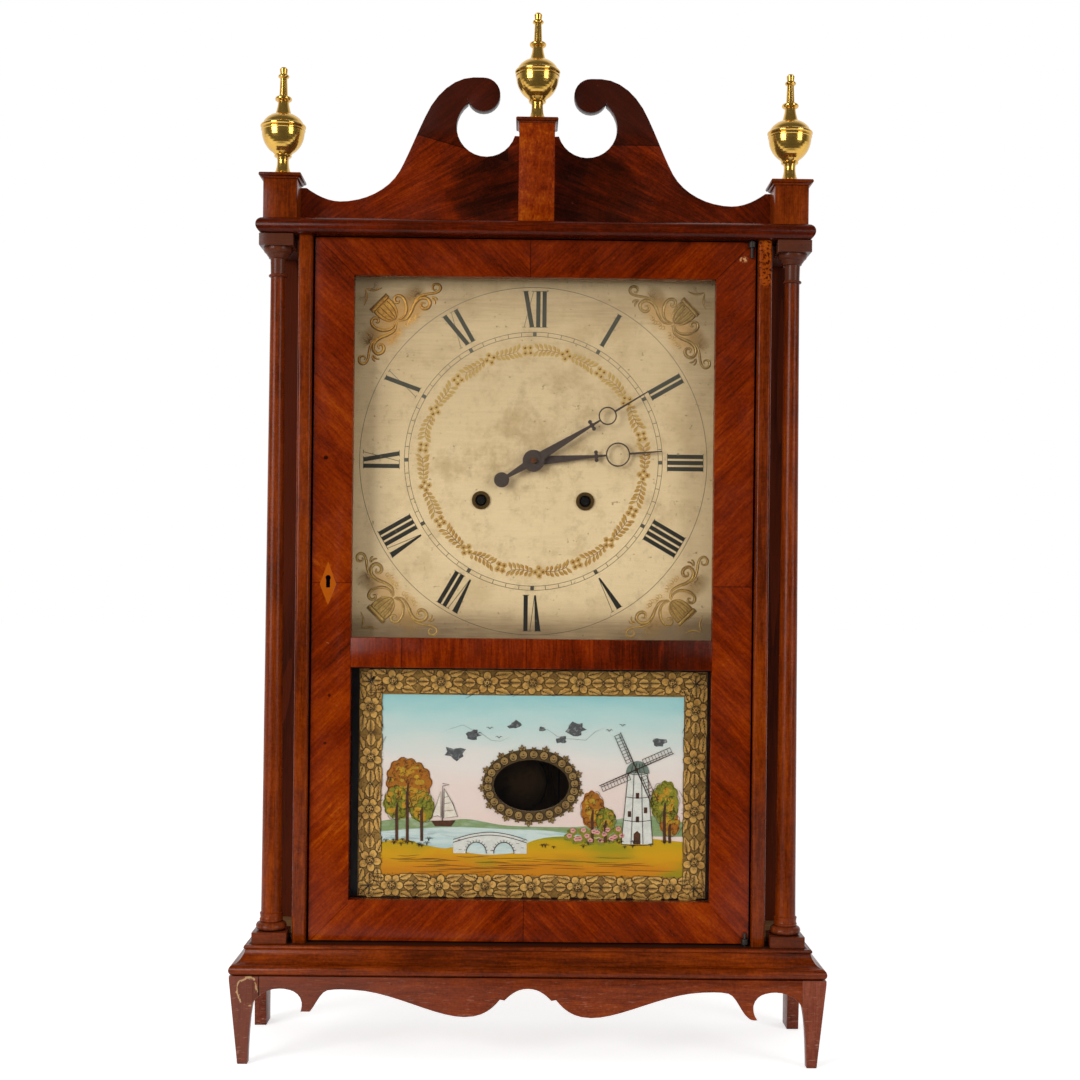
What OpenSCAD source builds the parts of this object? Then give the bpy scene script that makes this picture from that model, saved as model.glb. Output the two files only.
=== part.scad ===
// Pillar-and-scroll shelf clock, built from separate pieces at real size.
// +Z up, front towards -Y, origin at the middle of the footprint on the floor. Millimetres.

/* [Base] */
// Height of the feet and aprons under the base moulding
foot_h = 65; // [55:1:75]
// Thickness of the base board and its moulding
base_t = 21; // [18:1:25]
// How far the base board stands out past each case side
base_over = 31; // [28:0.5:35]
// Depth of the base board from its front edge to the back
board_d = 117; // [114:1:122]
// How far the base moulding stands out from the board
mould_w = 13; // [10:0.5:15]
// Thickness of the front apron and feet
apron_t = 8; // [6:0.5:9]
// Setback of the front apron behind the moulding's nose
apron_setback = 1; // [0.5:0.25:2.5]
// Thickness of the side aprons and rear feet
side_apron_t = 9.5; // [7:0.5:10]
// Setback of the side aprons behind the moulding's nose
side_setback = 2.5; // [2:0.25:3]
// Width of a front foot piece at its top
foot_top_w = 18; // [15:0.5:20]
// Width of a front foot at the floor
foot_toe_w = 7.5; // [6:0.5:9]
// How far the toe of a foot is drawn in from its top corner
foot_rake = 6.8; // [5:0.2:8]
// Height of the apron's arches above the floor
arch_z = 56.5; // [52:0.5:59]
// Height of the apron's deep scallops above the floor
scallop_z = 36; // [30:0.5:40]
// Height that is lost off the worn left cusp of the apron
cusp_loss = 4; // [0.5:0.5:6]
// Depth of a rear foot from front to back
rear_foot_d = 24; // [20:1:28]

/* [Case] */
// Outer width over the two case sides
case_w = 356; // [350:1:360]
// Height of the case between base board and top board
case_h = 532; // [520:1:545]
// Depth of the case from the sides' front edges to the back
case_d = 112; // [110:0.5:113]
// Thickness of a case side
side_t = 10.5; // [9:0.5:12]
// Radius of the rounded front edge of a case side
side_edge_r = 2.5; // [1:0.25:3]
// Thickness of the backboard
back_t = 12; // [10:0.5:13]
// How far the backboard stands out past each case side
back_over = 24; // [20:0.5:26]

/* [Top] */
// Thickness of the top board and its cornice
top_t = 12; // [10:0.5:14]
// How far the top board stands out past each case side, without its cornice
top_over = 21.5; // [19:0.5:24]
// Depth of the top board without its cornice
top_d = 109; // [107:0.5:112]
// How far the cornice stands out from the top board
cornice_w = 10; // [8:0.5:12]

/* [Columns] */
// Inset of a column's axis from both edges of the base board
column_inset = 14.5; // [14:0.25:16]
// Side of the square block under a column
block_w = 26; // [25:0.25:27]
// Height of that block
block_h = 8.5; // [7:0.25:10]
// Side of the square abacus on a column
abacus_w = 25.6; // [24:0.2:27]
// Height of the abacus
abacus_h = 9; // [7:0.25:10]
// Diameter of the shaft just above its base
shaft_low_d = 15.5; // [14:0.25:17]
// Diameter of the shaft below its top ring
shaft_top_d = 11; // [9.5:0.25:13]
// Height of the turned base between block and shaft
column_base_h = 13; // [11:0.25:15]
// Greatest diameter of the turned base
column_base_d = 23; // [21:0.25:24]
// Distance from the abacus down to the shaft's top ring
ring_drop = 21; // [17:0.5:24]
// Diameter of that ring
ring_d = 14; // [13.5:0.25:15]
// Height of the turned capital under the abacus
capital_h = 8; // [6:0.25:10]
// Greatest diameter of the capital
capital_d = 22; // [19:0.25:23]

/* [Crest] */
// Setback of the scroll board's face behind the top board's front edge
scroll_setback = 31; // [30:0.5:34]
// Thickness of the scroll board
scroll_t = 9; // [7:0.5:11]
// Height of the scrolls above the top board
scroll_h = 118; // [112:1:124]
// Radius of the round scroll ends
scroll_end_r = 13; // [11:0.5:14]
// Distance of the scroll ends' centres from the middle
scroll_end_x = 41.5; // [40:0.5:43]
// Radius of the round cut between scrolls and centre plinth
throat_r = 23; // [21:0.5:24]
// Side of a square side plinth
plinth_w = 25.5; // [24:0.5:27]
// Side of the square centre plinth
mid_plinth_w = 27; // [25:0.5:28]
// Height of the side plinths under their caps
plinth_h = 31.7; // [30:0.1:34]
// Height of the centre plinth under its cap
mid_plinth_h = 75.7; // [72:0.1:79]
// Distance of a side plinth's axis inside the top board's end
plinth_inset = 6; // [4.5:0.5:9]
// Side of a square plinth cap
cap_w = 32; // [30:0.5:34]
// Height of a plinth cap
cap_h = 4.3; // [3.5:0.1:6]

/* [Finials] */
// Height of a finial above its cap
finial_h = 83; // [76:1:90]
// Greatest diameter of a finial
finial_d = 34.6; // [31:0.2:38]
// Diameter of the peg that holds a finial in its plinth
peg_d = 5; // [4:0.25:6]
// Length of that peg
peg_l = 14; // [10:0.5:18]

/* [Door] */
// Gap between the door and the case sides
door_gap = 1.5; // [1:0.1:2]
// Gap above the door
door_top_gap = 1; // [0.6:0.1:2]
// Gap below the door
door_foot_gap = 1.5; // [0.8:0.1:2]
// Setback of the door's face behind the sides' front edges
door_setback = 5; // [4:0.25:6]
// Thickness of the door
door_t = 18; // [16:0.5:19]
// Width of a door stile
stile_w = 29.5; // [28:0.25:31]
// Height of the top rail
top_rail_h = 28; // [26:0.5:31]
// Height of the bottom rail
low_rail_h = 30.5; // [28:0.5:33]
// Height of the middle rail
mid_rail_h = 22.6; // [20:0.2:25]
// Height of the middle rail's top edge above the floor of the case
mid_rail_z = 230; // [220:1:240]
// Depth of the glass's face behind the door's face
glass_setback = 10; // [8:0.5:12]
// Thickness of the glass panes
glass_t = 2; // [1.6:0.1:3]
// Width of the rebate that holds a pane
rebate_w = 5; // [4:0.25:7]
// Width of the bead of putty behind a pane
putty_w = 4; // [2.5:0.25:4.5]
// Depth of that bead
putty_t = 3.5; // [2.5:0.25:4.5]

/* [Lock and hinges] */
// Height of the keyhole's plate above the case floor
lock_z = 270.5; // [262:0.5:280]
// Width of the diamond plate
plate_w = 12.5; // [11:0.25:14]
// Height of the diamond plate
plate_h = 33; // [28:0.5:36]
// Thickness of the diamond plate
plate_inlay_t = 1.2; // [1:0.1:2]
// Radius of the keyhole's round top
keyhole_r = 2; // [1.6:0.1:2.4]
// Length of the keyhole's slot below its round top
keyhole_l = 7.4; // [6:0.2:8]
// Width of the keyhole's slot
keyhole_w = 3; // [2.2:0.1:3.4]
// Width of the lock
lock_w = 20; // [18:0.5:22]
// Height of the lock
lock_h = 30; // [26:0.5:34]
// Thickness of the lock
lock_t = 7; // [6:0.25:8]
// Height of the lock's bolt
bolt_h = 9; // [7:0.25:11]
// Thickness of the lock's bolt
bolt_t = 3; // [2:0.1:4]
// Throw of the bolt into the case side
bolt_throw = 5; // [3.5:0.25:6]
// Diameter of the hinge wire
wire_d = 2.2; // [1.8:0.1:2.4]
// Outer diameter of a hinge eye
eye_d = 5.2; // [4.6:0.1:6]
// Height of a hinge eye
eye_h = 4; // [3:0.25:6]
// Distance of the hinge axis from the door's edge
hinge_inset = 3; // [2.5:0.1:4]
// Length of a hinge wire past the door's end
pintle_l = 13; // [11:0.5:16]
// Length of a hinge eye's shank in the door
shank_l = 8; // [6:0.5:10]

/* [Dial and hands] */
// How far the dial board reaches past the door's opening
dial_lap = 13.5; // [11:0.5:15]
// Thickness of the dial board
dial_t = 6; // [5:0.5:7]
// Gap between the door's back and the dial
dial_gap = 6; // [4.5:0.25:7]
// Distance of a winding hole from the middle
wind_x = 40; // [38:0.5:42]
// Distance of the winding holes below the dial's centre
wind_drop = 30.4; // [28:0.2:33]
// Outer radius of a winding grommet
grommet_r = 7; // [6:0.25:8]
// Bore radius of a winding grommet
grommet_bore_r = 4.5; // [3.8:0.1:5]
// How far a grommet stands out of the dial
grommet_t = 1.2; // [0.8:0.1:2]
// Angle of the minute hand, clockwise from twelve
minute_angle = 58.3; // [0:0.1:360]
// Angle of the hour hand, clockwise from twelve
hour_angle = 85.1; // [0:0.1:360]
// Length of the minute hand from its centre
minute_l = 102.5; // [96:0.5:108]
// Length of the hour hand from its centre
hour_l = 99; // [90:0.5:104]
// Thickness of the hands
hand_t = 1; // [0.8:0.1:1.4]
// Radius of the hands' bosses
boss_r = 8.3; // [7:0.1:9]

/* [Movement] */
// Gap between dial and front plate
motion_gap = 16; // [15:0.25:18]
// Thickness of the wooden plates
plate_t = 6; // [5:0.5:7]
// Gap between the plates
train_gap = 32; // [31:0.5:33]
// Width of the plates
plates_w = 164; // [160:1:168]
// Height of the plates above the dial's centre
plates_up = 88; // [84:1:94]
// Height of the plates below the dial's centre
plates_down = 94; // [90:1:98]
// Diameter of a plate pillar
pillar_d = 10; // [8:0.5:11]
// Diameter of the centre arbor
center_arbor_d = 4.4; // [4:0.1:5]
// Diameter of the other arbors
arbor_d = 3; // [2.6:0.1:3.6]
// Diameter of the winding arbors
wind_arbor_d = 6; // [5:0.1:7]
// Radius of the two weight drums
drum_r = 10.5; // [9:0.25:11]
// Radius of the drums' flanges
flange_r = 12.5; // [12:0.1:12.8]
// Length of the escape wheel's radius
escape_r = 20; // [18:0.25:20.5]
// Height of the pendulum's pivot above the escape wheel's axis
verge_up = 26.6; // [25.5:0.2:28]
// Length of the pendulum from pivot to bob centre
pendulum_l = 312; // [300:1:320]
// Diameter of the pendulum bob
bob_d = 50; // [44:1:56]
// Thickness of the pendulum bob
bob_t = 10; // [8:0.5:11]
// Mouth radius of the bell
bell_r = 32; // [28:0.5:34]
// Depth of the bell
bell_h = 20; // [17:0.5:22]

/* [Weights] */
// Diameter of a weight
weight_d = 50; // [44:0.5:51]
// Height of a weight
weight_h = 110; // [95:1:125]
// Gap between a weight and its case side
weight_gap = 12.5; // [10:0.5:16]
// Distance of a run-down weight above the case floor
weight_z = 14; // [8:0.5:24]
// Diameter of a cord
cord_d = 2.2; // [1.8:0.1:2.6]
// Outer radius of a pulley
pulley_r = 17; // [15.5:0.25:18]
// Thickness of a pulley
pulley_t = 7; // [6:0.25:8]

/* [Fits] */
// Radial clearance of an arbor in its plate
arbor_fit = 0.06; // [0.03:0.01:0.1]
// Clearance around a piece that slides or rests in a pocket
pocket_fit = 0.3; // [0.2:0.05:0.4]
// Radial clearance of a peg or a shank in its hole
peg_fit = 0.05; // [0.02:0.01:0.1]

/* [Hidden] */
$fn = 48;

// Widths that follow from the case
board_w = case_w + 2 * base_over;
back_w = case_w + 2 * back_over;
top_w = case_w + 2 * top_over;
plinth_x = top_w / 2 - plinth_inset;

// Places in the case
back_y = (board_d + mould_w) / 2;
nose_y = -back_y;
board_y = back_y - board_d;
floor_z = foot_h + base_t;
ceil_z = floor_z + case_h;
roof_z = ceil_z + top_t;
side_y = back_y - case_d;
inner_x = case_w / 2 - side_t;
backboard_y = back_y - back_t;
top_y = back_y - top_d;
column_x = board_w / 2 - column_inset;
column_y = board_y + column_inset;
apron_y = nose_y + apron_setback;
corner_x = board_w / 2 + mould_w;
side_apron_x = corner_x - side_setback;
foot_edge_x = corner_x - 0.4;
seam_x = foot_edge_x - foot_top_w;

// Places in the door
door_x = inner_x - door_gap;
door_z0 = floor_z + door_foot_gap;
door_z1 = ceil_z - door_top_gap;
door_y = side_y + door_setback;
door_back_y = door_y + door_t;
pane_x = door_x - stile_w;
upper_z1 = door_z1 - top_rail_h;
upper_z0 = floor_z + mid_rail_z;
lower_z1 = upper_z0 - mid_rail_h;
lower_z0 = door_z0 + low_rail_h;
glass_y = door_y + glass_setback;
hinge_x = door_x - hinge_inset;
eye_r = eye_d / 2;
hinge_y = door_y - wire_d / 2 - 0.4;
lock_mid_z = floor_z + lock_z;
lock_mid_x = -door_x + stile_w / 2 - 2.6;
bolt_y = door_back_y - lock_t / 2;

// Places in the movement
dial_y = door_back_y + dial_gap;
dial_back_y = dial_y + dial_t;
dial_z = (upper_z0 + upper_z1) / 2 - 0.5;
dial_x = pane_x + dial_lap;
dial_half_h = (upper_z1 - upper_z0) / 2 + dial_lap;
plate_y0 = dial_back_y + motion_gap;
plate_y1 = plate_y0 + plate_t;
plate_y2 = plate_y1 + train_gap;
plate_y3 = plate_y2 + plate_t;
wind_z = dial_z - wind_drop;
wind_dist = sqrt(pow(wind_x, 2) + pow(wind_drop, 2));

// Tooth counts and modules
great_teeth = 48;
pinion_teeth = 8;
center_teeth = 72;
third_teeth = 68;
pin_wheel_teeth = 60;
escape_teeth = 42;
cannon_teeth = 10;
motion_teeth = 30;
hour_teeth = 32;
great_m = 2 * wind_dist / (great_teeth + pinion_teeth);
third_dist = 40;
center_m = 2 * third_dist / (center_teeth + pinion_teeth);
escape_dist = 36;
third_m = 2 * escape_dist / (third_teeth + pinion_teeth);
motion_dist = 20;
motion_m = 2 * motion_dist / (cannon_teeth + motion_teeth);
hour_m = 2 * motion_dist / (hour_teeth + pinion_teeth);

// Axes of the trains, as [x, z]
center_at = [0, dial_z];
time_at = [wind_x, wind_z];
strike_at = [-wind_x, wind_z];
third_dir = 53;
third_at = center_at + third_dist * [cos(third_dir), sin(third_dir)];
escape_dir = 171.3;
escape_at = third_at + escape_dist * [cos(escape_dir), sin(escape_dir)];
pin_dir = 105;
pin_at = strike_at + wind_dist * [cos(pin_dir), sin(pin_dir)];
motion_dir = -45;
motion_at = center_at + motion_dist * [cos(motion_dir), sin(motion_dir)];
pivot_at = escape_at + [0, verge_up];
bob_at = pivot_at - [0, pendulum_l];
hammer_at = [-plates_w * 0.4, dial_z - plates_down * 0.79];
time_dir = atan2(time_at[1] - center_at[1], time_at[0] - center_at[0]);

// Depths of the trains from the front plate's back face
wheel_t = 4;
strike_wheel_y = plate_y1 + 2;
center_wheel_y = plate_y1 + 10;
thin_wheel_y = plate_y1 + 18;
great_wheel_y = plate_y1 + 24;
great_t = 5;
mesh_over = 0.8;
rod_y = dial_back_y + 1.5;
rod_d = 2;
hour_wheel_y = rod_y + rod_d + 1.5;
thin_t = 2.5;
cannon_y = hour_wheel_y + thin_t + 1.5;
cord_y = plate_y1 + train_gap / 2 - 0.5;

// Weights, pulleys and cords
cord_r = cord_d / 2;
groove_r = pulley_r - 2.6;
wrap_r = groove_r + cord_r + pocket_fit;
wound_r = drum_r + cord_r + pocket_fit;
weight_x = inner_x - weight_d / 2 - weight_gap;
pulley_x = weight_x - wrap_r;
pulley_z = roof_z - top_t / 2;
weight_z0 = floor_z + weight_z;

mahogany = [0.58, 0.25, 0.08];
dark_wood = [0.42, 0.16, 0.06];
pine = [0.72, 0.56, 0.36];
oak = [0.66, 0.5, 0.3];
brass = [0.83, 0.66, 0.2];
iron = [0.24, 0.22, 0.2];
cream = [0.82, 0.73, 0.54];
glass_tint = [0.8, 0.86, 0.84, 0.35];
hand_steel = [0.3, 0.26, 0.24];

// Points on a circle from angle a0 to a1, as [x, y]
function arc(cx, cy, r, a0, a1, n = 10) =
    [for (i = [0:n]) let (a = a0 + (a1 - a0) * i / n) [cx + r * cos(a), cy + r * sin(a)]];

// Points on an elliptical arc
function oval(cx, cy, rx, ry, a0, a1, n = 10) =
    [for (i = [0:n]) let (a = a0 + (a1 - a0) * i / n) [cx + rx * cos(a), cy + ry * sin(a)]];

// Points on a cubic curve, without its first point
function curve(p, q, r, s, n = 6) =
    [for (i = [1:n]) let (t = i / n, u = 1 - t)
        u * u * u * p + 3 * u * u * t * q + 3 * u * t * t * r + t * t * t * s];

function shift(points, dx, dy) = [for (p = points) [p[0] + dx, p[1] + dy]];

// A flat outline in the XZ plane, from y0 backwards by t
module slab(y0, t) {
    translate([0, y0 + t, 0]) rotate([90, 0, 0]) linear_extrude(t) children();
}

// A round bar along Y from y0 to y1 at a point [x, z]
module bar_y(at, r, y0, y1) {
    translate([at[0], y1, at[1]]) rotate([90, 0, 0]) cylinder(r = r, h = y1 - y0);
}

module block(x0, x1, y0, y1, z0, z1) {
    translate([x0, y0, z0]) cube([x1 - x0, y1 - y0, z1 - z0]);
}

// A moulding on the front and both sides of a board, mitred at its two corners
module wrapped_moulding(profile, half_w, front_y, z0, t, w) {
    intersection() {
        translate([-half_w - w, front_y, 0]) rotate([90, 0, 90])
            linear_extrude(2 * (half_w + w)) polygon([for (p = profile) [-p[0], p[1]]]);
        translate([0, 0, z0 - 1]) linear_extrude(t + 2)
            polygon([[-half_w, front_y], [half_w, front_y],
                [half_w + w, front_y - w], [-half_w - w, front_y - w]]);
    }
    for (side = [0, 1]) mirror([side, 0, 0]) intersection() {
        translate([half_w, back_y, 0]) rotate([90, 0, 0])
            linear_extrude(back_y - front_y + w) polygon(profile);
        translate([0, 0, z0 - 1]) linear_extrude(t + 2)
            polygon([[half_w, front_y], [half_w + w, front_y - w],
                [half_w + w, back_y], [half_w, back_y]]);
    }
}

// ---- Base ----

module base_board() {
    color(pine) block(-board_w / 2, board_w / 2, board_y, back_y, foot_h, floor_z);
}

// Profile of the base moulding: half-round nose, cove and a small bead under the board's top
nose_r = base_t * 0.2;
cove_x = mould_w - nose_r * 1.33;
cove_z = foot_h + nose_r * 2.19;
bead_r = base_t * 0.07;
base_profile = concat(
    [[0, foot_h]],
    arc(mould_w - nose_r, foot_h + nose_r, nose_r, -90, 90),
    [[cove_x, cove_z]],
    curve([cove_x, cove_z], [mould_w * 0.48, cove_z + base_t * 0.02],
        [mould_w * 0.2, floor_z - base_t * 0.33], [mould_w * 0.17, floor_z - base_t * 0.15]),
    arc(mould_w * 0.15, floor_z - bead_r, bead_r, -60, 90, 5),
    [[0, floor_z]]);

module base_moulding() {
    color(mahogany)
        wrapped_moulding(base_profile, board_w / 2, board_y, foot_h, base_t, mould_w);
}

// Right half of the apron's lower edge from the middle outwards, written for a half width of apron_ref
apron_ref = 203.6;
apron_k = seam_x / apron_ref;
arch_top_z = arch_z + 0.8;
apron_curve = concat(
    [[0, arch_top_z]],
    curve([0, arch_top_z], [7, arch_top_z], [12, arch_z - 2.5], [17.4, arch_z - 8]),
    [[20.8, arch_z - 7.4]],
    curve([20.8, arch_z - 7.4], [25.5, scallop_z + 7.5], [32, scallop_z], [47, scallop_z]),
    curve([47, scallop_z], [70, scallop_z], [100, arch_z - 2], [130, arch_z - 0.9], 10),
    curve([130, arch_z - 0.9], [138, arch_z - 0.5], [144, arch_z - 0.5], [148.8, arch_z - 1.6], 3),
    curve([148.8, arch_z - 1.6], [155, arch_z - 3.5], [158, scallop_z + 5], [163.8, scallop_z + 0.9]),
    curve([163.8, scallop_z + 0.9], [165.5, scallop_z - 0.8], [167.5, scallop_z - 0.9],
        [170.5, scallop_z - 0.7], 3),
    curve([170.5, scallop_z - 0.7], [168, scallop_z + 2.5], [167.2, scallop_z + 6],
        [167.5, scallop_z + 10], 4),
    curve([167.5, scallop_z + 10], [169, arch_z - 3], [176, arch_z - 0.5], [184, arch_z - 0.5]),
    curve([184, arch_z - 0.5], [193, arch_z - 0.5], [200, arch_z - 5],
        [apron_ref, arch_z - 11.2]));
apron_edge = [for (p = apron_curve) [p[0] * apron_k, p[1]]];

module front_apron() {
    right = concat(apron_edge, [[seam_x, foot_h], [0, foot_h]]);
    color(mahogany) difference() {
        union() {
            slab(apron_y, apron_t) polygon(right);
            mirror([1, 0, 0]) slab(apron_y, apron_t) polygon(right);
        }
        // broken tip of the left cusp
        block(-176 * apron_k, -154 * apron_k, apron_y - 1, apron_y + apron_t + 1,
            0, scallop_z - 0.9 + cusp_loss);
    }
}

// Front foot on the right: a plain bracket glued to the apron's end
module front_foot() {
    toe_out = foot_edge_x - foot_rake;
    toe_in = toe_out - foot_toe_w;
    inner = curve([seam_x, arch_z - 11.2], [seam_x + 2.2, arch_z - 20], [toe_in - 0.6, 24],
        [toe_in, 0]);
    slab(apron_y, apron_t)
        polygon(concat([[seam_x, foot_h], [seam_x, arch_z - 11.2]], inner,
            [[toe_out, 0], [foot_edge_x, foot_h - 3], [foot_edge_x, foot_h]]));
}
module front_feet() { color(mahogany) for (s = [0, 1]) mirror([s, 0, 0]) front_foot(); }

// Side apron with its rear foot, outlined in the YZ plane
module side_apron() {
    y0 = apron_y + apron_t;
    leg_y = back_y - rear_foot_d;
    edge = concat([[y0, arch_z - 8]],
        curve([y0, arch_z - 8], [y0 + 12, arch_z], [y0 + 24, arch_z], [y0 + 36, arch_z], 5),
        [[leg_y - 22, arch_z]],
        curve([leg_y - 22, arch_z], [leg_y - 8, arch_z], [leg_y, arch_z - 14], [leg_y + 1, 24], 6),
        [[leg_y + 3, 0], [back_y, 0], [back_y, foot_h], [y0, foot_h]]);
    translate([side_apron_x - side_apron_t, 0, 0]) rotate([90, 0, 90])
        linear_extrude(side_apron_t) polygon(edge);
}
module side_aprons() { color(mahogany) for (s = [0, 1]) mirror([s, 0, 0]) side_apron(); }

// ---- Case ----

// Right case side, its front edge rounded, seen in plan
module case_side() {
    r = side_edge_r;
    x0 = inner_x;
    x1 = case_w / 2;
    translate([0, 0, floor_z]) linear_extrude(case_h)
        polygon(concat(arc(x0 + r, side_y + r, r, 180, 270, 6), arc(x1 - r, side_y + r, r, 270, 360, 6),
            [[x1, backboard_y], [x0, backboard_y]]));
}
module case_side_right() { color(mahogany) case_side(); }
module case_side_left() {
    color(mahogany) difference() {
        mirror([1, 0, 0]) case_side();
        // mortise for the lock's bolt
        block(-inner_x - bolt_throw - 1, -inner_x + 1,
            bolt_y - bolt_t / 2 - pocket_fit, bolt_y + bolt_t / 2 + pocket_fit,
            lock_mid_z - bolt_h / 2 - pocket_fit, lock_mid_z + bolt_h / 2 + pocket_fit);
    }
}

module backboard() {
    color(pine) block(-back_w / 2, back_w / 2, backboard_y, back_y, floor_z, ceil_z);
}

// Top board with a slot and an axle for each pulley
slot_gap = 1.2;
module top_board() {
    color(pine) {
        difference() {
            block(-top_w / 2, top_w / 2, top_y, back_y, ceil_z, roof_z);
            for (s = [0, 1]) mirror([s, 0, 0])
                block(pulley_x - pulley_r - slot_gap - cord_r, pulley_x + pulley_r + slot_gap,
                    cord_y - pulley_t / 2 - slot_gap, cord_y + pulley_t / 2 + slot_gap,
                    ceil_z - 1, roof_z + 1);
        }
        for (s = [-1, 1])
            bar_y([s * pulley_x, pulley_z], arbor_d / 2, cord_y - pulley_t / 2 - slot_gap - 1,
                cord_y + pulley_t / 2 + slot_gap + 1);
    }
}

cornice_profile = concat([[0, ceil_z]],
    oval(cornice_w * 0.4, ceil_z + top_t / 2, cornice_w * 0.6, top_t / 2, -90, 90, 12),
    [[0, roof_z]]);
module cornice() {
    color(mahogany)
        wrapped_moulding(cornice_profile, top_w / 2, top_y, ceil_z, top_t, cornice_w);
}

// ---- Crest ----

scroll_y = top_y + scroll_setback;
scroll_top = roof_z + scroll_h;
end_z = scroll_top - scroll_end_r;
throat_x = scroll_end_x - 2.5;
throat_z = end_z - 25;
shelf_z = roof_z + plinth_h - 0.7;

// Right half of the scroll board, its wing written for a top board of 399 and scrolls of 118
function wing(x, z) = [x * top_w / 399, roof_z + z * scroll_h / 118];
shelf = [177 * top_w / 399, shelf_z];
scroll_half = concat(
    [[0, roof_z], [top_w / 2, roof_z], [top_w / 2, shelf_z], shelf],
    curve(shelf, shelf - [7, 5], wing(161, 21), wing(151, 21)),
    curve(wing(151, 21), wing(133, 21), wing(114, 30), wing(105.5, 45), 8),
    curve(wing(105.5, 45), wing(99, 57), wing(93, 73), wing(86.3, 87)),
    curve(wing(86.3, 87), wing(78, 106), wing(64, 117.5), [scroll_end_x + 8, scroll_top]),
    arc(scroll_end_x, end_z, scroll_end_r, 90, 338, 18),
    arc(throat_x, throat_z, throat_r, 52, -163, 18),
    [[mid_plinth_w / 2 - 2, throat_z - 7], [0, throat_z - 7]]);

module scroll_board() {
    color(mahogany) {
        slab(scroll_y, scroll_t) polygon(scroll_half);
        mirror([1, 0, 0]) slab(scroll_y, scroll_t) polygon(scroll_half);
    }
}

plinth_y = scroll_y - plinth_w / 2;
mid_plinth_y = scroll_y - mid_plinth_w / 2;

module plinth(x, y, w, h) {
    difference() {
        block(x - w / 2, x + w / 2, y - w / 2, y + w / 2, roof_z, roof_z + h);
        translate([x, y, roof_z + h + cap_h - peg_l - pocket_fit])
            cylinder(r = peg_d / 2 + peg_fit, h = peg_l);
    }
}
module side_plinths() {
    color(mahogany) for (s = [-1, 1]) plinth(s * plinth_x, plinth_y, plinth_w, plinth_h);
}
module center_plinth() { color([0.66, 0.32, 0.1]) plinth(0, mid_plinth_y, mid_plinth_w, mid_plinth_h); }

// Square cap with a cove under a square edge, cut from a profile in both directions
module cap(x, y, z) {
    half = cap_w / 2;
    foot = half - 2.2;
    lip = cap_h * 0.6;
    edge = concat([[0, 0], [foot, 0]],
        curve([foot, 0], [foot + 0.4, lip * 0.5], [foot + 1, lip * 0.6], [half - 0.5, cap_h - lip], 4),
        [[half, cap_h - lip + 0.3], [half, cap_h - 0.7], [half - 0.7, cap_h], [0, cap_h]]);
    outline = concat(edge, [for (i = [len(edge) - 1:-1:0]) [-edge[i][0], edge[i][1]]]);
    translate([x, y, z]) difference() {
        intersection() {
            translate([0, cap_w, 0]) rotate([90, 0, 0]) linear_extrude(2 * cap_w) polygon(outline);
            translate([-cap_w, 0, 0]) rotate([90, 0, 90]) linear_extrude(2 * cap_w) polygon(outline);
        }
        translate([0, 0, -1]) cylinder(r = peg_d / 2 + peg_fit, h = cap_h + 2);
    }
}
module plinth_caps() {
    color(mahogany) {
        for (s = [-1, 1]) cap(s * plinth_x, plinth_y, roof_z + plinth_h);
        cap(0, mid_plinth_y, roof_z + mid_plinth_h);
    }
}

// Urn finial: peg, trumpet foot, bowl with a double rim, domed lid, neck and ringed spire
finial_r = finial_d / 2;
bowl_z = finial_h * 0.42;
rim_z = finial_h * 0.445;
finial_profile = concat(
    [[0, -peg_l], [peg_d / 2, -peg_l], [peg_d / 2, 0], [finial_r * 0.43, 0], [finial_r * 0.43, 1.4]],
    curve([finial_r * 0.43, 1.4], [finial_r * 0.3, 4], [finial_r * 0.25, 7],
        [finial_r * 0.25, finial_h * 0.15], 5),
    [[finial_r * 0.28, finial_h * 0.175], [finial_r * 0.36, finial_h * 0.18],
        [finial_r * 0.38, finial_h * 0.19], [finial_r * 0.36, finial_h * 0.2]],
    oval(0, bowl_z, finial_r * 0.94, finial_h * 0.225, -62, -4, 9),
    arc(finial_r - 1.6, rim_z - 1.6, 1.1, -60, 70, 4),
    arc(finial_r - 1.3, rim_z + 1.1, 1.3, -60, 100, 5),
    oval(0, rim_z, finial_r * 0.93, finial_h * 0.14, 24, 68, 7),
    curve([finial_r * 0.36, finial_h * 0.576], [finial_r * 0.27, finial_h * 0.62],
        [finial_r * 0.24, finial_h * 0.66], [finial_r * 0.23, finial_h * 0.69], 4),
    arc(finial_r * 0.27, finial_h * 0.712, 1.7, -70, 70, 5),
    [[finial_r * 0.185, finial_h * 0.735], [finial_r * 0.15, finial_h * 0.9]],
    arc(finial_r * 0.18, finial_h * 0.92, 1.1, -60, 60, 4),
    [[finial_r * 0.15, finial_h * 0.94], [finial_r * 0.175, finial_h * 0.985],
        [finial_r * 0.12, finial_h], [0, finial_h]]);

module finial(x, y, z) {
    color(brass) translate([x, y, z]) rotate_extrude($fn = 64) polygon(finial_profile);
}
cap_top = roof_z + plinth_h + cap_h;
module side_finials() {
    for (x = [-plinth_x, plinth_x]) finial(x, plinth_y, cap_top);
}
module center_finial() { finial(0, mid_plinth_y, roof_z + mid_plinth_h + cap_h); }

// ---- Columns ----

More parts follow.
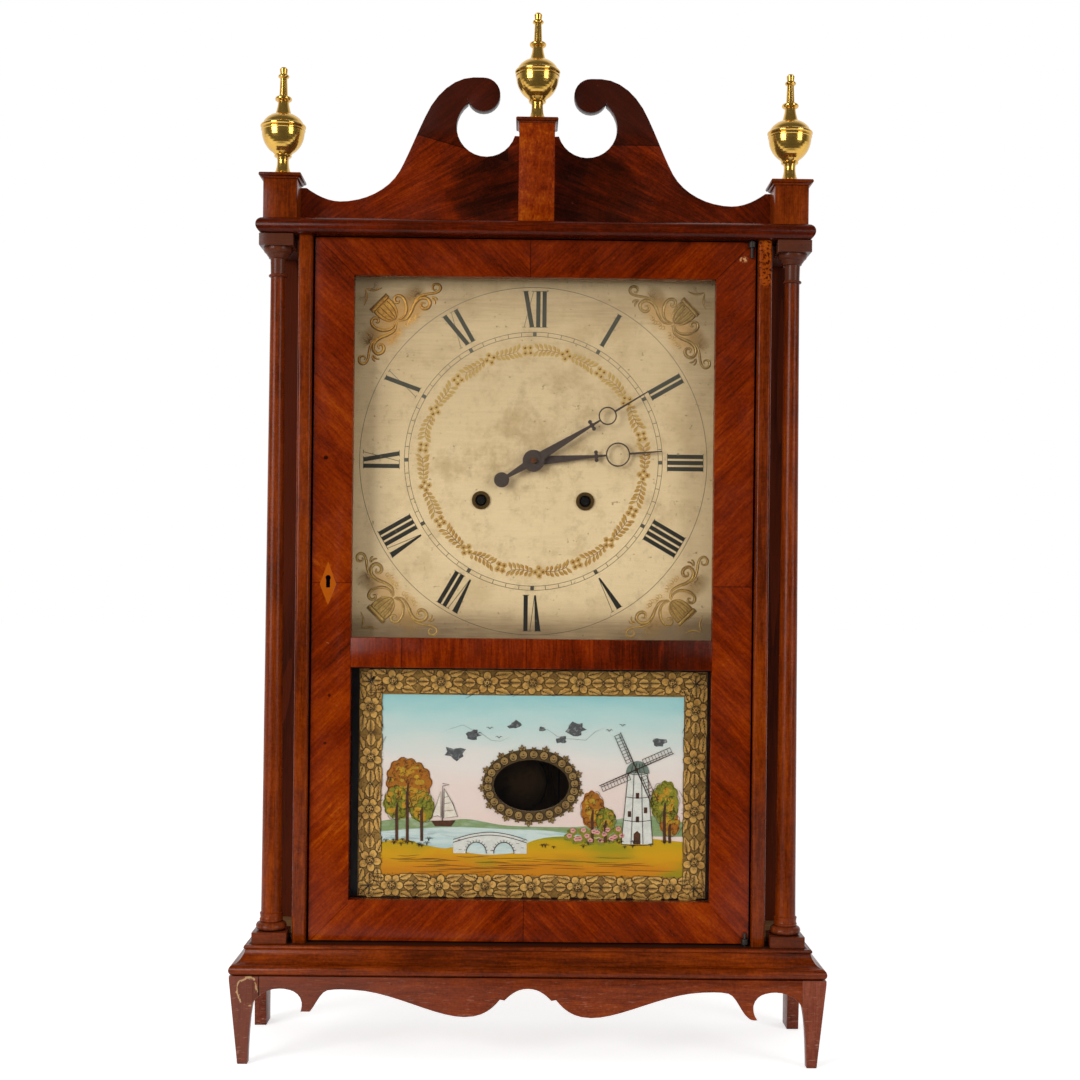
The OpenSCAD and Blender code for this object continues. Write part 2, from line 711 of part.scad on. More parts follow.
column_z0 = floor_z + block_h;
column_z1 = ceil_z - abacus_h;
base_r = column_base_d / 2;
low_r = shaft_low_d / 2;
top_r = shaft_top_d / 2;
ring_z = column_z1 - ring_drop;
capital_z = column_z1 - capital_h;
torus_r = column_base_h * 0.25;
column_profile = concat(
    [[0, column_z0]],
    arc(base_r - torus_r, column_z0 + torus_r, torus_r, -90, 90, 10),
    [[base_r - torus_r + 0.4, column_z0 + 2 * torus_r + 0.7]],
    curve([base_r - 1.8, column_z0 + 2 * torus_r + 1.4], [base_r - 3.6, column_z0 + 2 * torus_r + 1.8],
        [low_r + 0.4, column_z0 + column_base_h - 3], [low_r + 0.8, column_z0 + column_base_h - 1], 5),
    [[low_r + 1, column_z0 + column_base_h], [low_r, column_z0 + column_base_h + 0.8]],
    [[top_r, ring_z - 1.2]],
    arc(ring_d / 2 - 1, ring_z, 1, -90, 90, 6),
    [[top_r, ring_z + 1.2], [top_r + 0.3, capital_z - 0.6], [top_r + 1.4, capital_z]],
    curve([top_r + 1.4, capital_z], [top_r + 1.6, capital_z + 1.6], [capital_d / 2 - 2.6, capital_z + 2],
        [capital_d / 2 - 2.2, capital_z + 3.4], 5),
    [[capital_d / 2 - 1.4, capital_z + 4]],
    curve([capital_d / 2 - 1.4, capital_z + 4], [capital_d / 2 - 0.4, capital_z + 4.6],
        [capital_d / 2, capital_z + 6], [capital_d / 2, column_z1 - 1], 4),
    [[capital_d / 2, column_z1], [0, column_z1]]);

module column(x) {
    color(mahogany) translate([x, column_y, 0]) rotate_extrude($fn = 64) polygon(column_profile);
}
module column_left() { column(-column_x); }
module column_right() { column(column_x); }

module column_blocks() {
    b = block_w / 2;
    a = abacus_w / 2;
    color(mahogany) for (x = [-column_x, column_x]) {
        block(x - b, x + b, column_y - b, column_y + b, floor_z, column_z0);
        block(x - a, x + a, column_y - a, column_y + a, column_z1, ceil_z);
    }
}

// ---- Door ----

// Half plan of a member between the door's outer edge and its opening, mitred at the corners
module member(points) { slab(door_y, door_t) polygon(points); }

// Rebate for a pane, cut from the back of the members around an opening
module rebate(z0, z1) {
    block(-pane_x - rebate_w, pane_x + rebate_w, glass_y, door_back_y + 1,
        z0 - rebate_w, z1 + rebate_w);
}
module rebates() {
    rebate(lower_z0, lower_z1);
    rebate(upper_z0, upper_z1);
}

// Holes for the shanks of the hinge eyes, which reach into stile and rail at the mitre
module shank_holes() {
    for (z = [door_z0 + eye_h / 2, door_z1 - eye_h / 2])
        bar_y([hinge_x, z], wire_d / 2 + peg_fit, door_y - 1, door_y + shank_l + pocket_fit);
}

module stile() {
    member([[door_x, door_z0], [door_x, door_z1], [pane_x, upper_z1], [pane_x, lower_z0]]);
}
module door_stile_right() {
    color(mahogany) difference() {
        stile();
        rebates();
        shank_holes();
    }
}
module door_stile_left() {
    color(mahogany) difference() {
        mirror([1, 0, 0]) stile();
        rebates();
        slab(door_y - 1, plate_inlay_t + 1) diamond();
        slab(door_y, door_t) keyhole();
        block(-door_x - 1, -door_x + lock_w + pocket_fit, door_back_y - lock_t, door_back_y + 1,
            lock_mid_z - lock_h / 2 - pocket_fit, lock_mid_z + lock_h / 2 + pocket_fit);
    }
}
module door_top_rail() {
    color(mahogany) difference() {
        member([[-door_x, door_z1], [door_x, door_z1], [pane_x, upper_z1], [-pane_x, upper_z1]]);
        rebates();
        shank_holes();
    }
}
module door_bottom_rail() {
    color(mahogany) difference() {
        member([[-door_x, door_z0], [door_x, door_z0], [pane_x, lower_z0], [-pane_x, lower_z0]]);
        rebates();
        shank_holes();
    }
}
module door_mid_rail() {
    color(mahogany) difference() {
        member([[-pane_x, lower_z1], [pane_x, lower_z1], [pane_x, upper_z0], [-pane_x, upper_z0]]);
        rebates();
    }
}

pane_edge = rebate_w - pocket_fit;
module pane(z0, z1) {
    color(glass_tint) block(-pane_x - pane_edge, pane_x + pane_edge, glass_y, glass_y + glass_t,
        z0 - pane_edge, z1 + pane_edge);
}
module dial_glass() { pane(upper_z0, upper_z1); }
module tablet_glass() { pane(lower_z0, lower_z1); }

// Bead of putty on a pane's back, in the rebate's corner
module putty(z0, z1) {
    y = glass_y + glass_t;
    difference() {
        block(-pane_x - pane_edge, pane_x + pane_edge, y, y + putty_t,
            z0 - pane_edge, z1 + pane_edge);
        block(-pane_x - pane_edge + putty_w, pane_x + pane_edge - putty_w, y - 1, y + putty_t + 1,
            z0 - pane_edge + putty_w, z1 + pane_edge - putty_w);
    }
}
module glazing_putty() {
    color(cream) {
        putty(upper_z0, upper_z1);
        putty(lower_z0, lower_z1);
    }
}

module diamond() {
    polygon([[lock_mid_x, lock_mid_z + plate_h / 2], [lock_mid_x + plate_w / 2, lock_mid_z - 0.6],
        [lock_mid_x, lock_mid_z - plate_h / 2], [lock_mid_x - plate_w / 2, lock_mid_z - 0.6]]);
}
module keyhole() {
    top = lock_mid_z + 4.2;
    translate([lock_mid_x, top]) circle(r = keyhole_r);
    translate([lock_mid_x - keyhole_w / 2, top - keyhole_l]) square([keyhole_w, keyhole_l]);
}
module keyhole_plate() {
    color([0.72, 0.33, 0.06]) slab(door_y, plate_inlay_t) difference() {
        diamond();
        keyhole();
    }
}

// Lock case let into the stile's back, with a channel for its bolt
module door_lock() {
    g = pocket_fit;
    color(iron) difference() {
        block(-door_x, -door_x + lock_w, door_back_y - lock_t, door_back_y,
            lock_mid_z - lock_h / 2, lock_mid_z + lock_h / 2);
        block(-door_x - 1, -door_x + lock_w - 3, bolt_y - bolt_t / 2 - g, bolt_y + bolt_t / 2 + g,
            lock_mid_z - bolt_h / 2 - g, lock_mid_z + bolt_h / 2 + g);
        slab(door_back_y - lock_t - 1, lock_t / 2 + 1) keyhole();
    }
}
module lock_bolt() {
    color(iron) block(-door_x, -door_x + lock_w - 3.6, bolt_y - bolt_t / 2, bolt_y + bolt_t / 2,
        lock_mid_z - bolt_h / 2, lock_mid_z + bolt_h / 2);
}

// Wire pintles: one stands on the base board, one hangs from the top board
module hinge_pintles() {
    color(iron) {
        translate([hinge_x, hinge_y, floor_z]) cylinder(r = wire_d / 2, h = pintle_l - 3);
        translate([hinge_x, hinge_y, ceil_z - pintle_l]) cylinder(r = wire_d / 2, h = pintle_l);
    }
}
// Eyes around the pintles, flush against the door's face, each with a shank in the door
module hinge_eyes() {
    color(iron) for (z = [door_z0, door_z1 - eye_h]) difference() {
        union() {
            difference() {
                translate([hinge_x, hinge_y, z]) cylinder(r = eye_r, h = eye_h);
                block(hinge_x - eye_d, hinge_x + eye_d, door_y, door_y + eye_d, z - 1, z + eye_h + 1);
            }
            bar_y([hinge_x, z + eye_h / 2], wire_d / 2, hinge_y, door_y + shank_l);
        }
        translate([hinge_x, hinge_y, z - 1]) cylinder(r = wire_d / 2 + arbor_fit, h = eye_h + 2);
    }
}

// ---- Dial and hands ----

pipe_r = 4;
module dial_board() {
    color(cream) difference() {
        block(-dial_x, dial_x, dial_y, dial_back_y, dial_z - dial_half_h, dial_z + dial_half_h);
        bar_y(center_at, pipe_r + 1.5, dial_y - 1, dial_back_y + 1);
        for (at = [time_at, strike_at])
            bar_y(at, grommet_bore_r + 1, dial_y - 1, dial_back_y + 1);
    }
}
// Battens: cleats on the case sides behind the dial, and rails on the backboard for the movement
cleat_lap = 6;
cleat_t = 8;
rail_w = 20;
rail_x = plates_w / 2 - rail_w / 2 - 2;
rail_over = 12;
module case_battens() {
    color(pine) for (s = [0, 1]) mirror([s, 0, 0]) {
        block(dial_x - cleat_lap, inner_x, dial_back_y, dial_back_y + cleat_t,
            dial_z - dial_half_h, dial_z + dial_half_h);
        block(rail_x - rail_w / 2, rail_x + rail_w / 2, plate_y3, backboard_y,
            dial_z - plates_down - rail_over, dial_z + plates_up + rail_over);
    }
}
module winding_grommets() {
    color(brass) for (at = [time_at, strike_at]) difference() {
        union() {
            bar_y(at, grommet_r, dial_y - grommet_t, dial_y);
            bar_y(at, grommet_bore_r + 1 - peg_fit, dial_y - grommet_t, dial_back_y);
        }
        bar_y(at, grommet_bore_r, dial_y - grommet_t - 1, dial_back_y + 1);
    }
}

hour_hand_y = dial_y - 4.2;
minute_hand_y = hour_hand_y - 2.8;

// Hand outline along +Y from its centre: boss, tapered blade, cross, ring and pointer
module hand_outline(length, ring_at, ring_r, cross_at, tail_l, tail_r) {
    half = 3.3;
    difference() {
        union() {
            circle(r = boss_r);
            polygon([[-half, 0], [half, 0], [half, 9], [0.9, cross_at], [0.7, ring_at - ring_r],
                [-0.7, ring_at - ring_r], [-0.9, cross_at], [-half, 9]]);
            translate([0, cross_at]) circle(r = 1.9);
            for (s = [-1, 1]) {
                translate([s * 3, cross_at]) circle(r = 1.5);
                translate([s * 1.5, cross_at]) square([3, 1.4], center = true);
            }
            translate([0, ring_at]) circle(r = ring_r);
            polygon([[-0.8, ring_at + ring_r - 0.5], [0.8, ring_at + ring_r - 0.5],
                [0.45, length], [-0.45, length]]);
            if (tail_l > 0) {
                polygon([[-half, 0], [half, 0], [0.9, -tail_l], [-0.9, -tail_l]]);
                translate([0, -tail_l]) circle(r = tail_r);
            }
        }
        translate([0, ring_at]) circle(r = ring_r - 1);
    }
}
// A hand at its angle, cut around its arbor
module hand(y, angle, bore_r) {
    difference() {
        translate([0, y + hand_t, dial_z]) rotate([90, 0, 0]) linear_extrude(hand_t)
            rotate(-angle) children();
        bar_y(center_at, bore_r, y - 1, y + hand_t + 1);
    }
}
center_r = center_arbor_d / 2;
module minute_hand() {
    color(hand_steel) hand(minute_hand_y, minute_angle, center_r)
        hand_outline(minute_l, minute_l * 0.647, 7, minute_l * 0.51, minute_l * 0.278, 5.8);
}
module hour_hand() {
    color(hand_steel) hand(hour_hand_y, hour_angle, pipe_r)
        hand_outline(hour_l, hour_l * 0.657, 9.3, hour_l * 0.488, 0, 0);
}

// ---- Movement ----

// Toothed disc in the XZ plane; phase turns its first tooth to that angle
module gear(at, teeth, m, y0, t, phase, bore_r) {
    r = teeth * m / 2;
    pitch = 360 / teeth;
    points = [for (i = [0:teeth - 1]) for (k = [[-0.27, -0.9], [-0.1, 0.62], [0.1, 0.62], [0.27, -0.9]])
        let (a = phase + pitch * (i + k[0])) (r + k[1] * m) * [cos(a), sin(a)]];
    difference() {
        translate([at[0], y0 + t, at[1]]) rotate([90, 0, 0]) linear_extrude(t) polygon(points);
        bar_y(at, bore_r, y0 - 1, y0 + t + 1);
    }
}

pillar_r = pillar_d / 2;
pillars_at = [[-62, plates_up - 10], [62, plates_up - 10], [-20, 10 - plates_down], [20, 10 - plates_down]];
module plate(y0) {
    block(-plates_w / 2, plates_w / 2, y0, y0 + plate_t, dial_z - plates_down, dial_z + plates_up);
}
// Bores for every arbor that runs in the plates
module arbor_bores(y0, y1) {
    bar_y(center_at, center_r + arbor_fit, y0, y1);
    for (at = [time_at, strike_at]) bar_y(at, wind_arbor_d / 2 + arbor_fit, y0, y1);
    for (at = [third_at, pin_at, escape_at, hammer_at]) bar_y(at, arbor_d / 2 + arbor_fit, y0, y1);
}
stud_y = rod_y - 0.6;
module front_plate() {
    color(oak) {
        difference() {
            plate(plate_y0);
            arbor_bores(plate_y0 - 1, plate_y1 + 1);
        }
        // stud that carries verge and pendulum, and stud of the motion wheel
        bar_y(pivot_at, arbor_d / 2, stud_y, plate_y0 + 1);
        bar_y(motion_at, arbor_d / 2, hour_wheel_y - 0.6, plate_y0 + 1);
    }
}
module back_plate() {
    color(oak) {
        difference() {
            plate(plate_y2);
            arbor_bores(plate_y2 - 1, plate_y3 + 1);
        }
        for (p = pillars_at)
            bar_y([p[0], dial_z + p[1]], pillar_r, plate_y1, plate_y2 + 1);
    }
}

// Wheels and arbors of the going train
module center_arbor() {
    color(oak) {
        bar_y(center_at, center_r, minute_hand_y - 2.5, plate_y3);
        gear(center_at, center_teeth, center_m, center_wheel_y, wheel_t, third_dir, center_r - 0.5);
        gear(center_at, pinion_teeth, great_m, great_wheel_y - mesh_over, great_t + 2 * mesh_over,
            time_dir + 180 / pinion_teeth, center_r - 0.5);
        gear(center_at, cannon_teeth, motion_m, cannon_y, thin_t, motion_dir, center_r - 0.5);
    }
}
module motion_wheel() {
    bore = arbor_d / 2 + arbor_fit;
    color(oak) {
        gear(motion_at, motion_teeth, motion_m, cannon_y, thin_t,
            motion_dir + 180 + 180 / motion_teeth, bore);
        gear(motion_at, pinion_teeth, hour_m, hour_wheel_y, cannon_y - hour_wheel_y,
            motion_dir + 180, bore);
    }
}
module hour_wheel() {
    bore = center_r + arbor_fit;
    color(oak) {
        gear(center_at, hour_teeth, hour_m, hour_wheel_y, thin_t,
            motion_dir + 180 / hour_teeth, bore);
        difference() {
            bar_y(center_at, pipe_r, hour_hand_y, hour_wheel_y + thin_t);
            bar_y(center_at, bore, hour_hand_y - 1, hour_wheel_y + thin_t + 1);
        }
    }
}
module time_great_wheel() {
    color(oak) gear(time_at, great_teeth, great_m, great_wheel_y, great_t,
        time_dir + 180, wind_arbor_d / 2 + arbor_fit);
}
module third_wheel() {
    color(oak) {
        bar_y(third_at, arbor_d / 2, plate_y0, plate_y3);
        gear(third_at, third_teeth, third_m, thin_wheel_y, wheel_t - 1, escape_dir, arbor_d / 2 - 0.5);
        gear(third_at, pinion_teeth, center_m, center_wheel_y - mesh_over,
            wheel_t + 2 * mesh_over, third_dir + 180 + 180 / pinion_teeth, arbor_d / 2 - 0.5);
    }
}
// Escape wheel in front of the plate, with raked teeth
module escape_wheel() {
    pitch = 360 / escape_teeth;
    root = escape_r - 3;
    points = [for (i = [0:escape_teeth - 1]) for (k = [[0, root], [0.75, escape_r], [0.85, escape_r]])
        let (a = pitch * (i + k[0])) k[1] * [cos(a), sin(a)]];
    color(brass) difference() {
        translate([escape_at[0], cannon_y + thin_t, escape_at[1]]) rotate([90, 0, 0])
            linear_extrude(thin_t) polygon(points);
        for (i = [0:3]) bar_y(escape_at + escape_r * 0.5 * [cos(45 + 90 * i), sin(45 + 90 * i)],
            escape_r * 0.24, cannon_y - 1, cannon_y + thin_t + 1);
    }
    color(oak) {
        bar_y(escape_at, arbor_d / 2, cannon_y - 1, plate_y3);
        gear(escape_at, pinion_teeth, third_m, thin_wheel_y - mesh_over,
            wheel_t - 1 + 2 * mesh_over, escape_dir + 180 + 180 / pinion_teeth, arbor_d / 2 - 0.5);
    }
}

// Verge with two pallets over the escape wheel and a crutch in front of it
hub_r = 4;
crutch_l = 30;
module verge() {
    bore = arbor_d / 2 + arbor_fit;
    reach = escape_r + 1.6;
    span = 34;
    pallet = [for (s = [-1, 1]) escape_at + reach * [sin(s * span), cos(span)]];
    color(iron) difference() {
        union() {
            bar_y(pivot_at, hub_r, rod_y + rod_d + 0.5, cannon_y + thin_t);
            slab(cannon_y, thin_t) for (p = pallet) {
                polygon([pivot_at + [-1.2, 0.8], pivot_at + [1.2, 0.8], p + [1, 0.4], p + [-1, 0.4]]);
                translate(p + [0, 1.2]) circle(r = 1.2, $fn = 24);
            }
            // crutch: flat stem and a fork around the pendulum rod
            block(pivot_at[0] - 1, pivot_at[0] + 1, rod_y + rod_d + 0.5, rod_y + rod_d + 1.5,
                pivot_at[1] - crutch_l, pivot_at[1] - hub_r + 0.5);
            for (s = [-1, 1])
                block(pivot_at[0] + s * 2 - 0.6, pivot_at[0] + s * 2 + 0.6, rod_y - 0.4,
                    rod_y + rod_d + 1.5, pivot_at[1] - crutch_l, pivot_at[1] - crutch_l + 3);
            block(pivot_at[0] - 2.6, pivot_at[0] + 2.6, rod_y + rod_d + 0.5, rod_y + rod_d + 1.5,
                pivot_at[1] - crutch_l, pivot_at[1] - crutch_l + 3);
        }
        bar_y(pivot_at, bore, rod_y - 2, cannon_y + thin_t + 1);
    }
}

// Pendulum: loop on the stud, wire rod, brass-faced bob and rating nut on its screw
screw_l = 12;
nut_r = 4;
nut_h = 4;
module pendulum() {
    mid_y = rod_y + rod_d / 2;
    color(brass) {
        difference() {
            bar_y(pivot_at, hub_r, rod_y, rod_y + rod_d);
            bar_y(pivot_at, arbor_d / 2 + arbor_fit, rod_y - 1, rod_y + rod_d + 1);
        }
        translate([pivot_at[0], mid_y, bob_at[1] + bob_d / 2 - 2])
            cylinder(r = rod_d / 2, h = pendulum_l - bob_d / 2 + 2 - hub_r + 0.5);
        translate([bob_at[0], mid_y, bob_at[1]]) rotate([90, 0, 0]) rotate_extrude($fn = 64)
            polygon(concat([[0, -bob_t / 2]], oval(0, 0, bob_d / 2, bob_t / 2, -80, 80, 10),
                [[0, bob_t / 2]]));
        translate([bob_at[0], mid_y, bob_at[1] - bob_d / 2]) rotate_extrude()
            polygon([[0, 2], [rod_d / 2, 2], [rod_d / 2, -nut_h], [nut_r, -nut_h],
                [nut_r, -2 * nut_h], [rod_d / 2, -2 * nut_h], [rod_d / 2, -screw_l], [0, -screw_l]]);
    }
}

// Drum on a squared winding arbor; its great wheel turns freely behind or before it
drum_gap = 0.8;
module drum(at, y0, y1) {
    color(oak) {
        bar_y(at, wind_arbor_d / 2, dial_y - 0.6, plate_y3);
        bar_y(at, drum_r, y0, y1);
        bar_y(at, flange_r, y0, y0 + 1.5);
        bar_y(at, flange_r, y1 - 1.5, y1);
    }
}
module time_drum() { drum(time_at, plate_y1 + 4, great_wheel_y - drum_gap); }
module strike_drum() { drum(strike_at, strike_wheel_y + great_t + drum_gap, plate_y2 - 4); }

// ---- Strike ----

module strike_great_wheel() {
    color(oak) gear(strike_at, great_teeth, great_m, strike_wheel_y, great_t, pin_dir,
        wind_arbor_d / 2 + arbor_fit);
}
pin_wheel_r = 26;
pin_circle_r = 20;
module pin_wheel() {
    color(oak) {
        bar_y(pin_at, arbor_d / 2, plate_y0, plate_y3);
        gear(pin_at, pinion_teeth, great_m, strike_wheel_y - mesh_over, great_t + 2 * mesh_over,
            pin_dir + 180 + 180 / pinion_teeth, arbor_d / 2 - 0.5);
        gear(pin_at, pin_wheel_teeth, 2 * pin_wheel_r / pin_wheel_teeth, thin_wheel_y, wheel_t - 1, 0,
            arbor_d / 2 - 0.5);
        for (i = [0:7])
            bar_y(pin_at + pin_circle_r * [cos(45 * i), sin(45 * i)], 1,
                thin_wheel_y + 1, thin_wheel_y + wheel_t + 1.5);
    }
}
// Bell on a post from the backboard, mouth to the back
bell_drop = 21;
bell_gap = 7;
bell_x = -bell_r * 1.125;
bell_z = dial_z - plates_down - bell_drop - bell_r;
bell_y = backboard_y - bell_gap;
module bell() {
    t = 2;
    crown_y = bell_y - bell_h;
    wall = concat(oval(0, 0, bell_r, bell_h, 0, 90, 12),
        oval(0, 0, bell_r - t, bell_h - t, 90, 0, 12));
    color(brass) translate([bell_x, bell_y, bell_z]) rotate([90, 0, 0]) rotate_extrude()
        polygon(wall);
    color(iron) {
        bar_y([bell_x, bell_z], 3, crown_y + t - 0.5, backboard_y);
        bar_y([bell_x, bell_z], 4.5, crown_y - 3, crown_y + 0.3);
    }
}
// Hammer arbor with a lifting tail above and a wire and head below
tail_y = thin_wheel_y + wheel_t + 0.5;
tail_t = 1.5;
head_r = 4;
head_l = 9;
head_gap = 1.5;
pin_gap = 2.3;
module hammer() {
    head_y = tail_y + tail_t / 2;
    wall_r = bell_r * sqrt(1 - pow((bell_y - head_y - head_r) / bell_h, 2));
    head = [bell_x - wall_r - head_gap - head_l / 2, bell_z];
    to_pins = pin_at - hammer_at;
    tail = hammer_at + to_pins * (1 - (pin_circle_r + 1 + pin_gap) / norm(to_pins));
    color(iron) {
        bar_y(hammer_at, arbor_d / 2, plate_y0, plate_y3);
        slab(tail_y, tail_t) {
            link(hammer_at, tail, 2);
            link(hammer_at, head, 2);
        }
        bar_y(hammer_at, 3.5, tail_y - 3, tail_y + 4);
        translate([head[0] - head_l / 2, head_y, head[1]]) rotate([0, 90, 0])
            cylinder(r = head_r, h = head_l);
    }
}
// Straight flat link between two points
module link(a, b, w) {
    d = (b - a) / norm(b - a) * w / 2;
    n = [-d[1], d[0]];
    polygon([a + n, b + n, b - n, a - n]);
}

// ---- Weights ----

module pulley(x) {
    g = cord_r + 0.2;
    half = pulley_t / 2;
    bore = arbor_d / 2 + arbor_fit;
    sheave = [[bore, -half], [pulley_r, -half], [pulley_r, 1 - half], [groove_r, -g],
        [groove_r, g], [pulley_r, half - 1], [pulley_r, half], [bore, half]];
    color(oak) translate([x, cord_y, pulley_z]) rotate([90, 0, 0]) rotate_extrude() polygon(sheave);
}
// Cast weight with a rounded shoulder and a wire eye
eye_stem = 6;
eye_ring_r = 4;
weight_top = weight_z0 + weight_h;
cord_z0 = weight_top + eye_stem + 2 * eye_ring_r;
module weight(x) {
    r = weight_d / 2;
    color(iron) {
        translate([x, cord_y, weight_z0]) rotate_extrude($fn = 64)
            polygon(concat([[0, 0], [r - 1, 0], [r, 1]], arc(r - 6, weight_h - 6, 6, 0, 80, 6),
                [[4, weight_h], [0, weight_h]]));
        translate([x, cord_y, weight_top - 1]) cylinder(r = cord_r, h = eye_stem + 1);
        translate([x, cord_y, weight_top + eye_stem + eye_ring_r - cord_r]) rotate([90, 0, 0])
            rotate_extrude() translate([eye_ring_r, 0]) circle(r = cord_r, $fn = 24);
    }
}
module time_weight() { weight(weight_x); }
module strike_weight() { weight(-weight_x); }

// Hanging stretch of a cord, from the weight's eye up to its pulley
cord_color = [0.62, 0.54, 0.4];
module hanging_cord(x) {
    color(cord_color) translate([x, cord_y, cord_z0]) cylinder(r = cord_r, h = pulley_z - cord_z0, $fn = 24);
}
module time_cord() { hanging_cord(weight_x); }
module strike_cord() { hanging_cord(-weight_x); }

// Stretch over the pulley and down, crossing between the two centres, to the drum
module drum_cord() {
    d = [pulley_x - wind_x, pulley_z - wind_z];
    line_dir = atan2(d[1], d[0]) + asin((wrap_r + wound_r) / norm(d));
    line_l = sqrt(pow(norm(d), 2) - pow(wrap_r + wound_r, 2));
    start = time_at + wound_r * [sin(line_dir), -cos(line_dir)];
    translate([pulley_x, cord_y, pulley_z]) rotate([90, 0, 0])
        rotate_extrude(angle = line_dir + 90) translate([wrap_r, 0]) circle(r = cord_r, $fn = 24);
    translate([start[0], cord_y, start[1]]) rotate([0, 90 - line_dir, 0])
        cylinder(r = cord_r, h = line_l + 0.2, $fn = 24);
}
module drum_cords() {
    color(cord_color) for (s = [0, 1]) mirror([s, 0, 0]) drum_cord();
}
module time_pulley() { pulley(pulley_x); }
module strike_pulley() { pulley(-pulley_x); }

base_board();
base_moulding();
front_apron();
front_feet();
side_aprons();
case_side_left();
case_side_right();
backboard();
top_board();
cornice();
scroll_board();
side_plinths();
center_plinth();
plinth_caps();
side_finials();
center_finial();
column_left();
column_right();
column_blocks();
hinge_pintles();
dial_board();
case_battens();
winding_grommets();
front_plate();
back_plate();
bell();
door_stile_left();
door_stile_right();
door_top_rail();
door_mid_rail();
door_bottom_rail();
dial_glass();
tablet_glass();
glazing_putty();
keyhole_plate();
door_lock();
lock_bolt();
hinge_eyes();
minute_hand();
hour_hand();
center_arbor();
motion_wheel();
hour_wheel();
time_great_wheel();
third_wheel();
escape_wheel();
verge();
pendulum();
time_drum();
strike_drum();
strike_great_wheel();
pin_wheel();
hammer();
time_pulley();
strike_pulley();
time_weight();
strike_weight();
time_cord();
strike_cord();
drum_cords();
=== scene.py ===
"""Looks, lights and camera of the pillar-and-scroll shelf clock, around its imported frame."""
import math
import random

import bpy
import bmesh
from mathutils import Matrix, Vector


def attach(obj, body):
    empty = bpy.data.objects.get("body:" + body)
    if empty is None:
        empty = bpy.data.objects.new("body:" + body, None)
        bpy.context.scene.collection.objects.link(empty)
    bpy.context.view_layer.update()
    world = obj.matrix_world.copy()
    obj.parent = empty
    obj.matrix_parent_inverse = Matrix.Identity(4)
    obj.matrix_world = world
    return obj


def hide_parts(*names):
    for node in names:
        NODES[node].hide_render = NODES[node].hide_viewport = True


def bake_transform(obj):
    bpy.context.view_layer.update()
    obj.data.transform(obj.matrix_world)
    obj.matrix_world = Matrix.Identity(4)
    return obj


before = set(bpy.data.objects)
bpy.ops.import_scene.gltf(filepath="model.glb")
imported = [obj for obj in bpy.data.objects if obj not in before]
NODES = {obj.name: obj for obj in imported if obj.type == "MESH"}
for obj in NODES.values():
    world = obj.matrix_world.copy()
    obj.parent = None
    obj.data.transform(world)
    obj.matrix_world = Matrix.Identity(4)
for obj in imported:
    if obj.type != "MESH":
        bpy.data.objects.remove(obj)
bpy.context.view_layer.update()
MM = 0.001
TAU = 2 * math.pi
SLANT = 0.7071  # the cosine of 45 degrees
rng = random.Random(1820)


def link(name, data):
    obj = bpy.data.objects.new(name, data)
    bpy.context.scene.collection.objects.link(obj)
    return obj


# ---- Camera ----

def add_camera():
    """The photograph's point of view, a little left of the middle and level with the hands."""
    data = bpy.data.cameras.new("camera")
    data.sensor_width, data.lens, data.shift_y = 36, 54.35, 0.0481
    cam = link("camera", data)
    cam.location = (-0.0067, -1.2717, 0.354)
    pitch, roll, turn = 90 - 0.11, -0.62, -0.585
    cam.rotation_euler = [math.radians(a) for a in (pitch, roll, turn)]
    bpy.context.scene.camera = cam


# ---- Materials ----

def tone(r, g, b):
    """A colour in screen values from 0 to 255, as the linear colour that shaders take."""
    def straight(c):
        c /= 255
        return c / 12.92 if c <= 0.04045 else ((c + 0.055) / 1.055) ** 2.4
    return (straight(r), straight(g), straight(b), 1.0)


def math_node(what):
    """A method that takes a value and others through one Math node."""
    return lambda self, *others: self.nodes.calc(what, self, *others)


class Value:
    """A number or colour that a shader works out at each point."""

    def __init__(self, nodes, socket):
        self.nodes, self.socket = nodes, socket

    __add__ = __radd__ = math_node("ADD")
    __mul__ = __rmul__ = math_node("MULTIPLY")
    __sub__, __truediv__, __pow__ = math_node("SUBTRACT"), math_node("DIVIDE"), math_node("POWER")
    __lt__, __gt__ = math_node("LESS_THAN"), math_node("GREATER_THAN")
    __abs__, sign = math_node("ABSOLUTE"), math_node("SIGN")
    fract, pingpong = math_node("FRACT"), math_node("PINGPONG")
    maximum, arctan2 = math_node("MAXIMUM"), math_node("ARCTAN2")

    def __rsub__(self, other):
        return self.nodes.calc("SUBTRACT", other, self)

    def span(self, low, high, start=0.0, end=1.0):
        """The value's place from low to high, as a smooth run from start to end."""
        return self.nodes.add("MapRange", (self, low, high, start, end),
                              interpolation_type="SMOOTHSTEP")


class Nodes:
    """A node tree, written as short calls. A colour is given as three screen values."""

    def __init__(self, tree):
        self.tree = tree

    def wire(self, socket, value):
        value = getattr(value, "socket", value)
        if isinstance(value, bpy.types.NodeSocket):
            self.tree.links.new(value, socket)
        elif isinstance(value, tuple) and len(value) == 3:
            socket.default_value = tone(*value)
        else:
            socket.default_value = value

    def add(self, kind, inputs=(), out=0, **settings):
        """Adds a node with its inputs, by place or by name, and gives one of its outputs."""
        node = self.tree.nodes.new("ShaderNode" + kind)
        for key, setting in settings.items():
            setattr(node, key, setting)
        for key, value in inputs.items() if isinstance(inputs, dict) else enumerate(inputs):
            self.wire(node.inputs[key], value)
        return Value(self, node.outputs[out])

    def calc(self, what, *values):
        return self.add("Math", values, operation=what)


